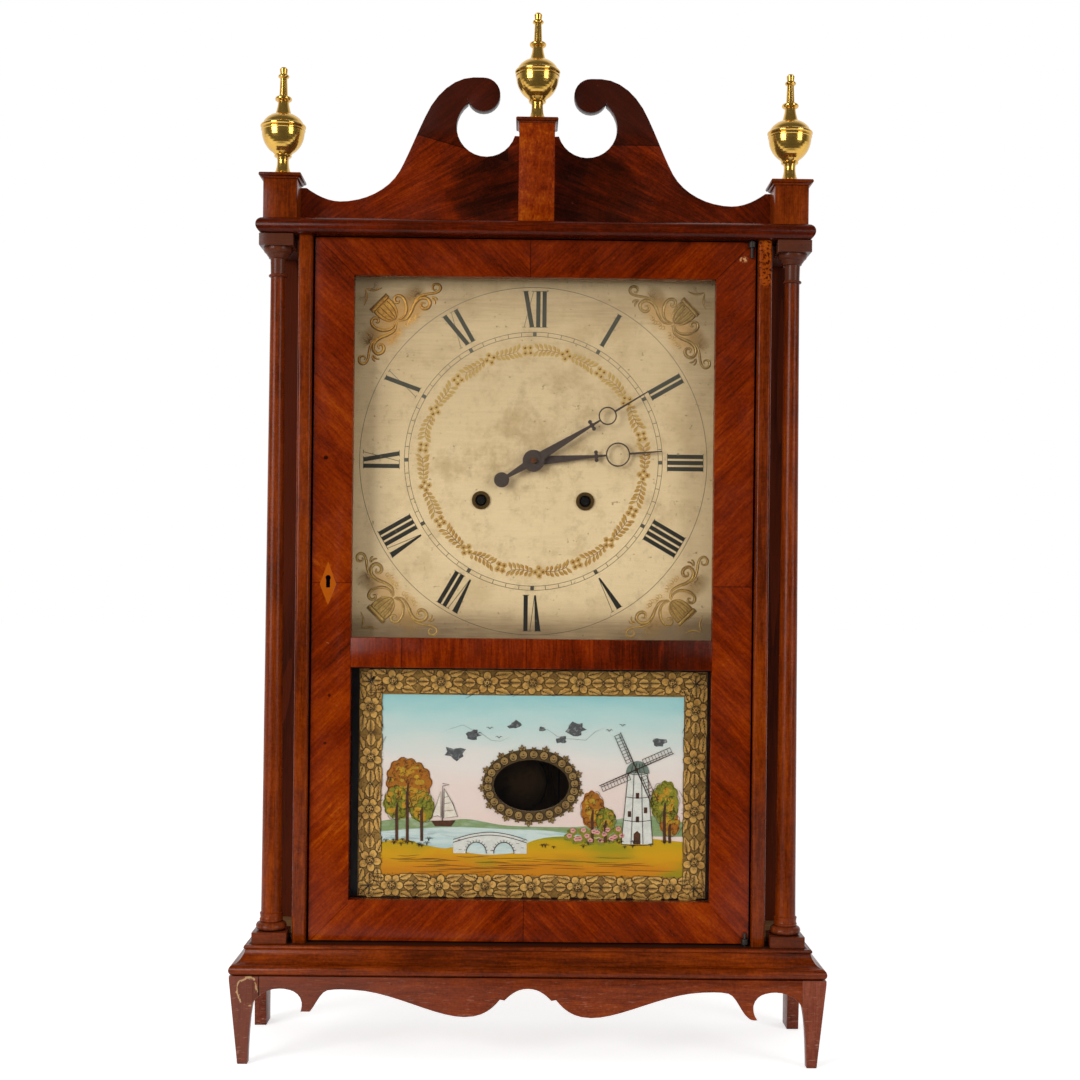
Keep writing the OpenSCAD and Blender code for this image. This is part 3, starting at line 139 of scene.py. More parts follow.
class Paint(Nodes):
    """One material on the object's own coordinates."""

    def __init__(self, name, **fixed):
        self.mat = bpy.data.materials.new(name)
        self.mat.use_nodes = True
        super().__init__(self.mat.node_tree)
        self.tree.nodes.clear()
        out = self.tree.nodes.new("ShaderNodeOutputMaterial")
        self.skin = self.tree.nodes.new("ShaderNodeBsdfPrincipled")
        self.tree.links.new(self.skin.outputs[0], out.inputs[0])
        self.at = self.add("TexCoord", out="Object")
        self.put(**fixed)

    def put(self, **inputs):
        """Sets inputs of the surface, such as Base_Color."""
        for key, value in inputs.items():
            self.wire(self.skin.inputs[key.replace("_", " ")], value)

    def surface(self, colour, rough, relief, depth):
        """Finishes the material, with relief of depth millimetres from a height of 0 to 1."""
        bump = self.add("Bump", {"Strength": 1.0, "Distance": depth * MM, "Height": relief})
        self.put(Base_Color=colour, Roughness=rough, Normal=bump)
        return self.mat

    def xyz(self):
        """The object's coordinates in millimetres."""
        parts = self.add("SeparateXYZ", (self.at,)).socket.node.outputs
        return [Value(self, part) * 1000 for part in parts]

    def noise(self, size, detail=2.0, rough=0.5, warp=0.0, place=None):
        """Noise from 0 to 1 whose features lie size metres apart, or, where place gives three
        coordinates, size millimetres."""
        return self.add("TexNoise", {
            "Vector": self.add("CombineXYZ", place) if place else self.at, "Scale": 1 / size,
            "Detail": detail, "Roughness": rough, "Distortion": warp}, out="Fac")

    def ramp(self, value, *stops):
        """Runs through colours; each stop is a place and its colour."""
        out = self.add("ValToRGB", (value,))
        band = out.socket.node.color_ramp.elements
        while len(band) < len(stops):
            band.new(0.5)
        for element, (place, colour) in zip(band, stops):
            element.position = place
            element.color = tone(*colour)
        return out

    def mix(self, share, a, b):
        return self.add("Mix", {0: share, 6: a, 7: b}, out=2, data_type="RGBA")

    def coats(self, colour, *coats):
        """Lays coats over a colour; each is its share and its own colour."""
        for share, over in coats:
            colour = self.mix(share, colour, over)
        return colour

    def grime_and_shade(self, reach, low, high, most):
        """Dirt and painted shade: 0 in the open, and most where a corner or groove of reach
        millimetres is deep.
        """
        open_air = self.add("AmbientOcclusion", {"Distance": reach * MM}, out="AO", samples=4)
        return (1.0 - open_air).span(low, high, 0.0, most)


def far(a, b):
    """The distance from the place where a and b are 0."""
    return (a * a + b * b) ** 0.5


def line_at(value, half=0.35):
    """A thin line where value is 0: 1 on it, and 0 beyond half a millimetre or so."""
    return abs(value).span(half * 0.6, half * 1.5, 1, 0)


def patch(x, z, cx, cz, rx, rz, soft=0.5):
    """A soft ragged oval: 1 inside it, and 0 outside."""
    ragged = (x.nodes.noise(0.012, 3, 0.6) - 0.5) * 0.7
    return (far((x - cx) / rx, (z - cz) / rz) + ragged).span(1 - soft, 1 + soft, 1, 0)


def darker(mark, *parts):
    """Takes each mask's share off the mark; a negative share makes it lighter."""
    for mask, share in parts:
        mark = mark - mask * share
    return mark


def patched(mark, x, z, *areas):
    """Darkens soft ovals: each is its share, middle, half width, half height and softness."""
    return darker(mark, *((patch(x, z, *area), share) for share, *area in areas))


# How the grain runs: each turns a place into lengths along, across and through it.

def upright(x, y, z):
    return z, x, y


def level(x, y, z):
    return x, z, y


def fore_and_aft(x, y, z):
    return y, z, x


def figured(x, y, z):
    """Crotch or burr, whose figure runs only a little further one way than the other."""
    return z * 5, x, y


def edged(x, y, z):
    """Round-turned stock: the grain stands, and the rings are seen from every side."""
    return z, x + y, x - y


def door_run(x, y, z):
    """Veneer cut on the slant and matched about the door's middle lines, parallel to each mitre."""
    aside, up = x - LEAVES_X, z - LEAVES_Z
    leaf_depth = aside.sign() * 9 + up.sign() * 14
    return (abs(aside) + abs(up)) * SLANT, (abs(aside) - abs(up)) * SLANT, y + leaf_depth


def scroll_run(x, y, z):
    """Crotch figure that fans out from each lower outer end of the board."""
    out, up = 225 - abs(x), z - 590
    return far(out, up), up.arctan2(out) * 150, y + x.sign() * 11


# Where the leaves of the door's veneer meet, half its opening, and its middle height
LEAVES_X, LEAVES_Z = -4, 357
OPENING_HALF, DOOR_MIDDLE = 136.5, 352.25
POLISHED = (42, 10, 1), (76, 19, 0), (113, 32, 0), (142, 50, 1), (176, 84, 10)
BROWNER = (52, 16, 2), (88, 29, 2), (124, 47, 4), (152, 66, 8), (184, 94, 20)
DULLED = (62, 26, 16), (92, 38, 22), (116, 52, 32), (138, 72, 50), (164, 100, 76)


def mahogany(name, run, light, figure, gloss=0.24, marks=None, stain=None, palette=POLISHED):
    """Old polished mahogany. marks changes the grain's depth, and stain its colour."""
    p = Paint(name, Coat_Weight=0.05, Coat_Roughness=0.12, Specular_IOR_Level=0.12)
    x, y, z = p.xyz()
    along, across, through = run(x, y, z)
    pores = p.noise(0.9, 3, 0.6, place=(along * 0.07, across, through))
    streaks = p.noise(4, 3, 0.6, 0.5, (along * 0.09, across, through))
    bands = p.noise(34, 2, 0.5, 1.1, (along * 0.35, across, through))
    fiddle = p.noise(7, 1, 0.4, 0.4, (along, across * 0.25, through))
    clouds, flecks = p.noise(0.07, 2, 0.5), p.noise(0.0022, 3, 0.7)
    mark = (pores * 0.44 + streaks * (0.56 * figure) + bands * (0.46 * figure)
            + fiddle * (0.10 * figure) + clouds * 0.46 + flecks * 0.42)
    middle = 0.5 * (0.44 + 1.12 * figure + 0.46 + 0.42)
    mark = mark + (light - middle)
    if marks:
        mark = marks(p, mark, x, y, z)
    colour = p.ramp(mark, *zip((0.08, 0.32, 0.52, 0.72, 0.95), palette))
    if stain:
        colour = stain(p, colour, x, y, z)
    dots = p.noise(0.0045, 2, 0.5).span(0.76, 0.82, 0, 0.5)
    nicks = p.noise(0.0034, 3, 0.6, 0.6).span(0.74, 0.79, 0, 0.5)
    # Painted shade and dirt in corners and grooves, then dark dots and pale nicks.
    colour = p.coats(colour, (p.grime_and_shade(5, 0.35, 0.95, 0.75), (34, 12, 6)), (dots, (60, 22, 10)),
                     (nicks, (156, 104, 66)))
    dull = p.noise(0.03, 3, 0.6)
    return p.surface(colour, dull.span(0.3, 0.75, gloss - 0.05, gloss + 0.10),
                     pores * 0.5 + dull * 0.5, 0.05)


def door_marks(p, mark, x, y, z):
    """Joints between the leaves of veneer, the mitres, and old pin holes."""
    half_x, half_z = abs(x), abs(z - DOOR_MIDDLE)
    rail = half_x < OPENING_HALF
    stile = 1 - rail
    mitre = line_at(half_x - OPENING_HALF - (half_z - 236.75)) * (stile * (half_z > 236))
    mark = darker(mark, (line_at(x - LEAVES_X) * rail, 0.22), (line_at(z - LEAVES_Z) * stile, 0.22),
                  (mitre, 0.22))
    return patched(
        mark, x, z, (0.5, -156.5, 451, 1.6, 1.3, 0.3), (0.4, -155, 236, 1.3, 1.0, 0.3),
        (0.4, -152, 272, 1.1, 1.1, 0.3), (0.06, 151, 520, 9, 60), (0.08, 60, 600, 34, 15),
        (0.05, -150, 590, 22, 18), (-0.05, -60, 100, 50, 12), (-0.08, -150, 400, 14, 60),
        (-0.04, -150, 180, 10, 60))


def door_chip(p, colour, x, y, z):
    """A bare chip near the top hinge."""
    chip = patch(x, z, 157.2, 604, 3.0, 2.2, 0.25) * p.noise(0.0016, 2, 0.6).span(0.47, 0.53)
    return p.mix(chip * 0.9, colour, (206, 150, 98))


def scroll_marks(p, mark, x, y, z):
    """Pieced scroll tips above their joints, and dark figure on both sides of the middle plinth."""
    joint = (z - (677.4 - x * 0.282)) * (x < 0) + (z - 697.2) * (x > 0)
    outer = abs(x) > 22
    mark = darker(mark, (joint.span(-0.3, 0.3) * outer, 0.22), (line_at(joint, 0.4) * outer, 0.25),
                  (x.span(14, 16), 0.09))
    return patched(mark, x, z, (0.26, -38, 660, 26, 34, 0.35), (0.20, 44, 652, 32, 40),
                   (-0.06, -105, 665, 30, 14))


def tip_colour(p, colour, x, y, z):
    """The tips have gone a duller, more purple brown."""
    return p.mix(z.span(700, 712, 0, 0.6), colour, (66, 26, 16))


def rail_marks(p, mark, x, y, z):
    """Two joints across the middle rail, and its darker right half."""
    return darker(mark, (x.span(-4.5, -3.5), 0.06), (x.span(62, 84), 0.16),
                  (line_at(x - LEAVES_X), 0.2), (line_at(x + 98), 0.2))


def strip_marks(p, mark, x, y, z):
    """Worn finish at the top of the right side, and a knock or two."""
    rough = p.noise(0.0022, 3, 0.7).span(0.38, 0.5, -0.9, 0.8)
    worn = patch(x, z, 172, 603, 12, 19, 0.1) * (rough * (y < -46))
    return patched(mark + worn * 0.30, x, z, (0.08, -173, 300, 6, 40), (0.10, 173, 420, 8, 90))


def dull_capital(p, colour, x, y, z):
    """The capitals and the feet of the columns have gone a dusty brown."""
    ends = z.span(582, 592, 0, 0.7).maximum(z.span(106, 98, 0, 0.3))
    return p.mix(ends, colour, (82, 50, 38))


def scuffed(p, colour, x, y, z):
    """Pale scratches and rubbed edges near the floor."""
    scratch = p.noise(1.1, 3, 0.7, place=(x * 0.12, y, z * 0.8))
    share = scratch.span(0.58, 0.7, 0, 0.55) * z.span(75, 5, 0.25, 1.0)
    return p.mix(share, colour, (176, 132, 112))


def glue_stain(p, colour, x, y, z):
    """A ring of old glue at the left foot's joint, and a dirty crack beside it."""
    colour = scuffed(p, p.mix(x.span(-190, 20, 0.5, 0.06), colour, (108, 66, 56)), x, y, z)
    edge = far((x + 208) / 7.2, (z - 53.5) / 11.2) + (p.noise(0.009, 4, 0.7) - 0.5) * 1.3
    front = y < -58
    ring = abs(edge - 1).span(0.05, 0.13, 0.9, 0) * p.noise(0.006, 2, 0.5).span(0.42, 0.52)
    crack = line_at(x + 199.4, 0.4) * (z > 42)
    return p.coats(colour, (edge.span(0.8, 1.0, 0.4, 0) * front, (96, 50, 36)),
                   (ring * front, (186, 152, 108)), (crack * front, (30, 14, 8)))


def plain_wood(name, run, pale, dark, stained=False):
    """Unpolished wood with long fibres and dust and painted shade in its corners; stained where it
    shows from in front, with painted shade under the top board.
    """
    p = Paint(name, Specular_IOR_Level=0.15)
    x, y, z = p.xyz()
    along, across, through = run(x, y, z)
    rings = p.noise(5, 3, 0.6, 0.4, (along * 0.03, across, through))
    fibres = p.noise(0.8, 2, 0.6, place=(along * 0.05, across, through))
    dust = p.noise(0.06, 3, 0.6)
    colour = p.mix((rings * 0.7 + fibres * 0.35 + dust * 0.4).span(0.45, 0.95), pale, dark)
    if stained:
        # Stain on the fronts, and painted shade on the lower face of the top board.
        shaded_underside = (z > 600) * (z < 618.5)
        colour = p.mix((y < -9).maximum(shaded_underside), colour, (66, 26, 10))
    # Painted shade and dust in the corners.
    colour = p.mix(p.grime_and_shade(8, 0.3, 0.9, 0.7), colour, (52, 36, 22))
    return p.surface(colour, dust.span(0.2, 0.8, 0.55, 0.78), fibres, 0.15)


def drum_wood():
    """Turned drums, with dark steel where the winding square comes through the dial, darkened
    further as painted shade in the winding hole.
    """
    p = Paint("drum_wood", Specular_IOR_Level=0.3)
    x, y, z = p.xyz()
    rings = p.noise(2.5, 3, 0.6, place=(x, y * 0.1, z))
    steel = y < 3.0
    wood = p.mix(rings, (150, 92, 48), (108, 62, 30))
    p.put(Metallic=steel * 0.7)
    # The winding square is nearly black: steel, with painted shade in the winding hole.
    return p.surface(p.mix(steel, wood, (30, 26, 24)), rings.span(0.2, 0.8, 0.45, 0.6), rings, 0.1)


def back_wood():
    """The backboard: bare pine with rows of nails, stained dark and darkened as painted shade where
    it shows beside the case.
    """
    p = Paint("backboard_stain_and_shade", Specular_IOR_Level=0.06)
    x, y, z = p.xyz()
    fibres = p.noise(1.2, 3, 0.6, place=(x, y, z * 0.05))
    dust = p.noise(0.06, 3, 0.6)
    rings = (p.noise(60, 1, 0.4, 0.6, (x, y, z * 0.09)) * 9).fract().span(0.35, 0.95)
    knots = p.noise(46, 1, 0.3, place=(x * 1.3, y, z)).span(0.79, 0.83)
    mark = (fibres * 0.5 + dust * 0.35 + rings * 0.26 + knots * 0.5).span(0.35, 0.95)
    nail = far(abs(x) - 172, (z + 8).pingpong(42.5) - 21).span(1.8, 2.6, 1, 0)
    pine = p.coats(p.mix(mark, (158, 114, 68), (92, 60, 34)),
                   (line_at(x - 24, 0.8) * 0.8, (30, 20, 12)), (nail * (y > 64), (46, 36, 30)))
    # Beside the case: dark stain, deepened as painted shade.
    front = abs(x).span(172, 176) * (y < 60)
    colour = p.mix(front, pine, p.mix(mark, (84, 30, 8), (44, 13, 4)))
    return p.surface(colour, dust.span(0.2, 0.8, 0.5, 0.7), fibres, 0.15)


def metal(name, clean, stained, rough, shine, spotted=1.0):
    p = Paint(name, Metallic=shine)
    stain, fine = p.noise(0.012, 4, 0.6, 0.5), p.noise(0.0016, 2, 0.5)
    share = p.grime_and_shade(3, 0.3, 0.9, 0.8).maximum(stain.span(0.5, 0.72, 0, 0.55 * spotted))
    wear = stain.span(0.3, 0.8, rough, rough + 0.14 * spotted) + fine * (0.06 * spotted)
    return p.surface(p.mix(share, clean, stained), wear, fine, 0.01)


def glass():
    """Old window glass: mostly clear, with a faint wavy reflection."""
    p = Paint("old_glass", Metallic=1.0, Alpha=0.035)
    rough = p.noise(0.02, 3).span(0.3, 0.8, 0.02, 0.07)
    return p.surface((0.94, 0.96, 0.95, 1), rough, p.noise(0.05, 1, 0.4), 0.12)


def lumpy(name, size, pale, dark, depth, *detail, **fixed):
    """Putty or cord: a matt stuff whose colour and relief follow one noise."""
    p = Paint(name, **fixed)
    lump = p.noise(size, *detail)
    return p.surface(p.mix(lump, pale, dark), lump.span(0.2, 0.8, 0.7, 0.9), lump, depth)


DIAL_Z = 452
DIAL_CORNER = 273  # the dial's half width and half height together


def dial_paint():
    """Cream paint gone gold and umber in its corners, with painted shade and dirt towards its
    edges, and bands of painted shade and painted light across it.
    """
    p = Paint("dial_paint", Specular_IOR_Level=0.35)
    x, y, z = p.xyz()
    up = z - DIAL_Z
    across, high, out = abs(x), abs(up), far(x, up)
    brush = p.noise(1.6, 2, 0.6, place=(x * 0.06, y, z))
    cloud = p.noise(0.045, 3, 0.55)
    # shade: painted shade and dirt towards the edges, darker towards the top left corner, painted
    # shade along the bottom edge and below the top rail, painted light below the middle, at the
    # very top edge and along the left edge, and mottling.
    shade = (across.maximum(high).span(118, 139) * 0.02 + out.span(95, 195) * 0.25
             + (up - x).span(150, 265) * 0.11 + cloud * 0.44 + brush * 0.26
             + up.span(-50, 70, -0.24, 0.06) + up.span(-104, -131) * 0.72 + up.span(98, 116) * 0.1
             + up.span(122, 136) * -0.45 + x.span(-106, -122) * -0.24)
    cream = p.ramp(shade, (0.0, (244, 218, 169)), (0.18, (236, 209, 160)), (0.46, (221, 194, 147)),
                   (0.78, (176, 150, 110)), (1.0, (136, 112, 80)))
    smear = p.noise(0.03, 5, 0.7).span(0.46, 0.72, 0, 0.6) * out.span(30, 130, 1.0, 0.45)
    dirt = p.noise(0.013, 5, 0.75).span(0.52, 0.78, 0, 0.45)
    inward, aside = (DIAL_CORNER - (across + high)) * SLANT, abs((across - high) * SLANT)
    wash = patch(aside, inward, 11, 43, 15, 10) * (up - x).span(-200, 200, 0.36, 0.7)
    umber = patch(aside, inward, 23, 37, 9, 6) * 0.5
    spots = p.noise(0.004, 3, 0.6).span(0.66, 0.74, 0, 0.6)
    colour = p.coats(cream, (smear, (176, 142, 90)), (dirt, (158, 134, 98)), (wash, (206, 150, 66)),
                     (umber, (146, 112, 60)), (spots, (120, 88, 52)))
    return p.surface(colour, cloud.span(0.3, 0.7, 0.5, 0.66), brush * 0.6 + cloud * 0.4, 0.08)


def finish_nodes():
    """Gives the CAD nodes their materials."""
    board = back_wood()
    for names, mat in (
            ("door_stile_left door_stile_right door_top_rail door_bottom_rail",
             mahogany("door_veneer", door_run, 0.55, 0.95, marks=door_marks, stain=door_chip)),
            ("door_mid_rail", mahogany("cross_veneer", upright, 0.52, 1.1, marks=rail_marks)),
            ("scroll_board",
             mahogany("scroll_veneer", scroll_run, 0.46, 1.1, marks=scroll_marks,
                      stain=tip_colour)),
            ("case_side_left case_side_right side_plinths",
             mahogany("standing_mahogany", upright, 0.48, 0.8, marks=strip_marks, palette=BROWNER)),
            ("column_left column_right",
             mahogany("turned_mahogany", edged, 0.47, 0.9, 0.30, stain=dull_capital,
                      palette=BROWNER)),
            ("base_moulding plinth_caps",
             mahogany("lying_mahogany", level, 0.42, 0.9, palette=BROWNER)),
            ("column_blocks",
             mahogany("block_mahogany", level, 0.42, 0.9, stain=dull_capital, palette=BROWNER)),
            ("cornice", mahogany("cornice_mahogany", level, 0.34, 0.7)),
            ("front_apron",
             mahogany("apron_mahogany", level, 0.44, 0.8, 0.34, stain=glue_stain, palette=BROWNER)),
            ("front_feet",
             mahogany("foot_mahogany", upright, 0.53, 0.8, 0.34, stain=glue_stain, palette=DULLED)),
            ("side_aprons",
             mahogany("apron_side", fore_and_aft, 0.46, 0.8, 0.34, stain=scuffed, palette=DULLED)),
            ("center_plinth", mahogany("plinth_veneer", figured, 0.70, 1.2)),
            ("keyhole_plate", mahogany("inlay_veneer", upright, 0.95, 0.5)),
            ("base_board top_board case_battens",
             plain_wood("pine_board", level, (150, 112, 70), (112, 78, 44), stained=True)),
            ("backboard", board),
            ("back_plate front_plate",
             plain_wood("oak_plates", upright, (158, 116, 66), (118, 80, 40))),
            ("center_arbor hour_wheel motion_wheel pin_wheel strike_great_wheel strike_pulley"
             " third_wheel time_great_wheel time_pulley",
             plain_wood("cherry_wheels", upright, (150, 92, 48), (112, 62, 30))),
            ("strike_drum time_drum", drum_wood()),
            ("center_finial side_finials",
             metal("polished_brass", (222, 176, 84), (166, 116, 42), 0.14, 0.86, 0.4)),
            ("bell escape_wheel", metal("working_brass", (196, 150, 66), (120, 84, 34), 0.30, 1.0)),
            # The pendulum: tarnished brass, darkened further as painted shade for the dark case
            # behind the tablet.
            ("pendulum", metal("tarnished_shaded_brass", (48, 35, 21), (26, 19, 13), 0.5, 1.0)),
            ("winding_grommets", metal("dull_brass", (112, 86, 46), (58, 42, 24), 0.4, 1.0)),
            ("door_lock lock_bolt hammer hinge_eyes hinge_pintles verge",
             metal("dark_iron", (72, 66, 62), (44, 34, 28), 0.5, 1.0)),
            ("time_weight strike_weight",
             metal("cast_iron", (70, 64, 60), (92, 58, 40), 0.62, 0.6)),
            ("hour_hand minute_hand", metal("hand_steel", (84, 70, 62), (58, 44, 38), 0.5, 0.4)),
            ("dial_glass tablet_glass", glass()),
            ("glazing_putty", lumpy("putty", 0.004, (188, 170, 132), (132, 112, 80), 0.3, 3, 0.6)),
            ("dial_board", dial_paint())):
        for name in names.split():
            NODES[name].data.materials.clear()
            NODES[name].data.materials.append(mat)
    add_backboard_edges(board)


# ---- Meshes ----

def loft(verts, faces, rings, closed=False):
    """Joins equal rings of points into a skin, and caps the ends of an open run."""
    first, n = len(verts), len(rings[0])
    for ring in rings:
        verts += ring
    for i in range(len(rings) - (0 if closed else 1)):
        step = n if i < len(rings) - 1 else -i * n
        for j in range(n):
            a, b = first + i * n + j, first + i * n + (j + 1) % n
            faces.append((a, b, b + step, a + step))
    if not closed:
        faces.append([first + j for j in reversed(range(n))])
        faces.append([first + (len(rings) - 1) * n + j for j in range(n)])


def piece(name, verts, faces, mat, smooth=False):
    """A mesh object whose lengths are given in millimetres."""
    mesh = bpy.data.meshes.new(name)
    mesh.from_pydata([tuple(c * MM for c in v) for v in verts], [], faces)
    mesh.materials.append(mat)
    for face in mesh.polygons:
        face.use_smooth = smooth
    mesh.validate()
    return link(name, mesh)


def soften(width, names):
    """Rounds the sharp edges, as handling has."""
    for name in names.split():
        obj = NODES[name]
        if "custom_normal" in obj.data.attributes:
            obj.data.attributes.remove(obj.data.attributes["custom_normal"])
        for face in obj.data.polygons:
            face.use_smooth = True
        obj.modifiers.new("weld", "WELD").merge_threshold = 1e-5
        bevel = obj.modifiers.new("edges", "BEVEL")
        bevel.width, bevel.segments = width * MM, 2
        bevel.limit_method, bevel.angle_limit = "ANGLE", math.radians(35)
        bevel.harden_normals = False
        obj.modifiers.new("split", "EDGE_SPLIT").split_angle = math.radians(30)


def add_backboard_edges(mat):
    """The hand-planed rounded edges of the backboard, which reach out behind the columns."""
    y0, y1, z0, z1, near, reach, rows = 53.4, 64.6, 86.2, 617.6, 200.5, 206.2, 36
    for side, name in ((-1, "left"), (1, "right")):
        rings, verts, faces = [], [], []
        for i in range(rows + 1):
            edge = reach - rng.uniform(0.0, 0.35)
            bend = [(edge - 2.4, 0), (edge - 0.9, 0.7), (edge - 0.2, 2.2), (edge, 4)]
            ring = [(near, y0)] + [(x, y0 + d) for x, d in bend]
            ring += [(x, y1 - d) for x, d in bend[::-1]] + [(near, y1)]
            rings.append([(side * x, y, z0 + (z1 - z0) * i / rows) for x, y in ring])
        loft(verts, faces, rings)
        if side < 0:
            faces = [face[::-1] for face in faces]
        strip = piece("backboard_edge_" + name, verts, faces, mat, smooth=True)
        strip.modifiers.new("split", "EDGE_SPLIT").split_angle = math.radians(50)
        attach(strip, "case")


# ---- Cords ----

# A cord's radius and depth, and the pulley's and the drum's axes with the cord's radius on each
CORD_R, CORD_Y = 1.1, 25.5
PULLEY, WRAP_R = Vector((114.2, 624.0)), 15.8
DRUM, WOUND_R = Vector((40.0, 421.6)), 11.9


def twisted(name, path, mat, lay=6.5, strands=3, sides=8):
    """A laid cord of three strands along a path in millimetres, which turn once in each lay."""
    done = [0.0]
    for a, b in zip(path, path[1:]):
        done.append(done[-1] + (b - a).length)
    count = int(done[-1] / 0.55) + 1
    rows, where = [], 0
    for i in range(count + 1):
        s = done[-1] * i / count
        while where < len(path) - 2 and done[where + 1] < s:
            where += 1
        share = (s - done[where]) / (done[where + 1] - done[where])
        ahead = (path[where + 1] - path[where]).normalized()
        rows.append((path[where].lerp(path[where + 1], share), ahead, s))
    thin = CORD_R * 0.535
    depth = Vector((0, 1, 0))
    verts, faces = [], []
    for k in range(strands):
        rings = []
        for spot, ahead, s in rows:
            side = ahead.cross(depth).normalized()

            def aim(turn):
                return side * math.cos(turn) + depth * math.sin(turn)

            middle = spot + (CORD_R - thin) * aim(TAU * (s / lay + k / strands))
            rings.append([middle + thin * aim(TAU * j / sides) for j in range(sides)])
        loft(verts, faces, rings)
    return piece(name, verts, faces, mat, smooth=True)


def add_cords():
    """The weights' cords: up from the weight, over the pulley and down to the drum."""
    mat = lumpy("linen_cord", 0.0012, (186, 166, 126), (118, 98, 66), 0.1, 2, Sheen_Weight=0.3)
    sides = ((1, "time"), (-1, "strike"))
    for s, name in sides:
        x = s * 130
        path = [Vector((x, CORD_Y, 224 + 8 * i)) for i in range(51)]
        cord = twisted(name + "_cord_line", path, mat)
        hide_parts(name + "_cord")
        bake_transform(cord)
    apart = PULLEY - DRUM
    lean = math.atan2(apart.y, apart.x) + math.asin((WRAP_R + WOUND_R) / apart.length)
    end = DRUM + WOUND_R * Vector((math.sin(lean), -math.cos(lean)))
    runs = []
    for s, name in sides:
        path = []
        for i in range(25):
            a = (lean + math.pi / 2) * i / 24
            path.append(Vector((s * (PULLEY.x + WRAP_R * math.cos(a)), CORD_Y,
                                PULLEY.y + WRAP_R * math.sin(a))))
        last = path[-1]
        path += [last.lerp(Vector((s * end.x, CORD_Y, end.y)), i / 12) for i in range(1, 13)]
        runs.append(twisted(name + "_drum_line", path, mat))
    for cord in runs:
        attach(cord, "case")
    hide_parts("drum_cords")


# ---- Painted and gilded ornament ----

HAIR = 0.0015


class Marks:
    """Closed shapes on an upright face, gathered into one piece; lengths are in millimetres."""

    def __init__(self, front, back, body, slot):
        self.front, self.back, self.body, self.slot = front, back, body, slot
        self.verts, self.faces, self.count = [], [], 0

    def face(self):
        """The front of the next mark: each lies a hair's breadth off the last, never flush."""
        self.count += 1
        return self.front - HAIR * (self.count % 24)

    def plate(self, outline):
        """A flat shape with this outline."""
        loft(self.verts, self.faces,
             [[(x, y, z) for x, z in outline] for y in (self.face(), self.back)])

    def frame(self, inner, outer):
        """The flat area between two outlines of as many points."""
        loft(self.verts, self.faces, closed=True, rings=[
            [(a, self.front, b), (c, self.front, d), (c, self.back, d), (a, self.back, b)]
            for (a, b), (c, d) in zip(inner, outer)])

    def stroke(self, line, wide, closed=False, ends=None, high=None):
        """A brush stroke along a line. ends gives its width at both ends as shares of wide;
        with high it is a rounded ridge of that height instead of a flat mark."""
        rings, n, front = [], len(line), self.face()
        for i, (x, z) in enumerate(line):
            a = line[i - 1 if i or closed else 0]
            b = line[(i + 1) % n if closed or i < n - 1 else i]
            dx, dz = b[0] - a[0], b[1] - a[1]
            size = math.hypot(dx, dz) or 1
            t = i / (n - 1)
            swell = 1.0
            if ends:
                swell = min(1.0, ends[0] + (1 - ends[0]) * t * 4,
                            ends[1] + (1 - ends[1]) * (1 - t) * 4)
            w = wide * swell / 2
            nx, nz = -dz / size * w, dx / size * w
            if high:
                ring = [(x + nx * k, self.front - high * swell * up, z + nz * k)
                        for k, up in ((1, 0), (0.72, 0.72), (0, 1), (-0.72, 0.72), (-1, 0))]
                ring += [(x - nx, self.back, z - nz), (x + nx, self.back, z + nz)]
            else:
                ring = [(x + nx, front, z + nz), (x - nx, front, z - nz),
                        (x - nx, self.back, z - nz), (x + nx, self.back, z + nz)]
            rings.append(ring)
        loft(self.verts, self.faces, rings, closed)

    def make(self, name, mat, smooth=False):
        obj = piece(name, self.verts, self.faces, mat, smooth)
        shell = bmesh.new()
        shell.from_mesh(obj.data)
        bmesh.ops.recalc_face_normals(shell, faces=shell.faces)
        shell.to_mesh(obj.data)
        shell.free()
        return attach(obj, self.body)


def around(x, z, rx, a, rz=None):
    """The point at angle a of a circle or an oval."""
    return (x + rx * math.cos(a), z + (rx if rz is None else rz) * math.sin(a))


def ray(x, z, near, out, a):
    return [around(x, z, near, a), around(x, z, out, a)]


def arch(x, z, rx, rz, n=12):
    return [around(x, z, rx, math.pi * i / n, rz) for i in range(n + 1)]


def curve(points, steps=6):
    """A smooth line through the points."""
    line = []
    for i in range(len(points) - 1):
        p0, p1 = points[max(i - 1, 0)], points[i]
        p2, p3 = points[i + 1], points[min(i + 2, len(points) - 1)]
        for k in range(steps):
            t = k / steps
            line.append(tuple(
                0.5 * (2 * b + (c - a) * t + (2 * a - 5 * b + 4 * c - d) * t * t
                       + (3 * b - a - 3 * c + d) * t ** 3)
                for a, b, c, d in zip(p0, p1, p2, p3)))
    return line + [points[-1]]


def oval(x, z, rx, rz, n=24, turn=0.0):
    c, s = math.cos(turn), math.sin(turn)
    return [(x + rx * math.cos(TAU * i / n) * c - rz * math.sin(TAU * i / n) * s,
             z + rx * math.cos(TAU * i / n) * s + rz * math.sin(TAU * i / n) * c) for i in range(n)]


def leaf(x, z, turn, long, wide, lobes=0, n=9, full=0.8):
    """Outline of a leaf whose stalk is at (x, z), with wavy sides if it has lobes; a higher
    full puts its widest part further out."""
    half = []
    for i in range(n + 1):
        t = i / n
        wave = 1 + 0.3 * abs(math.sin(lobes * math.pi * t))
        half.append((long * t, wide / 2 * math.sin(math.pi * t ** full) * wave))
    side = half + [(a, -b) for a, b in reversed(half[1:-1])]
    c, s = math.cos(turn), math.sin(turn)
    return [(x + a * c - b * s, z + a * s + b * c) for a, b in side]


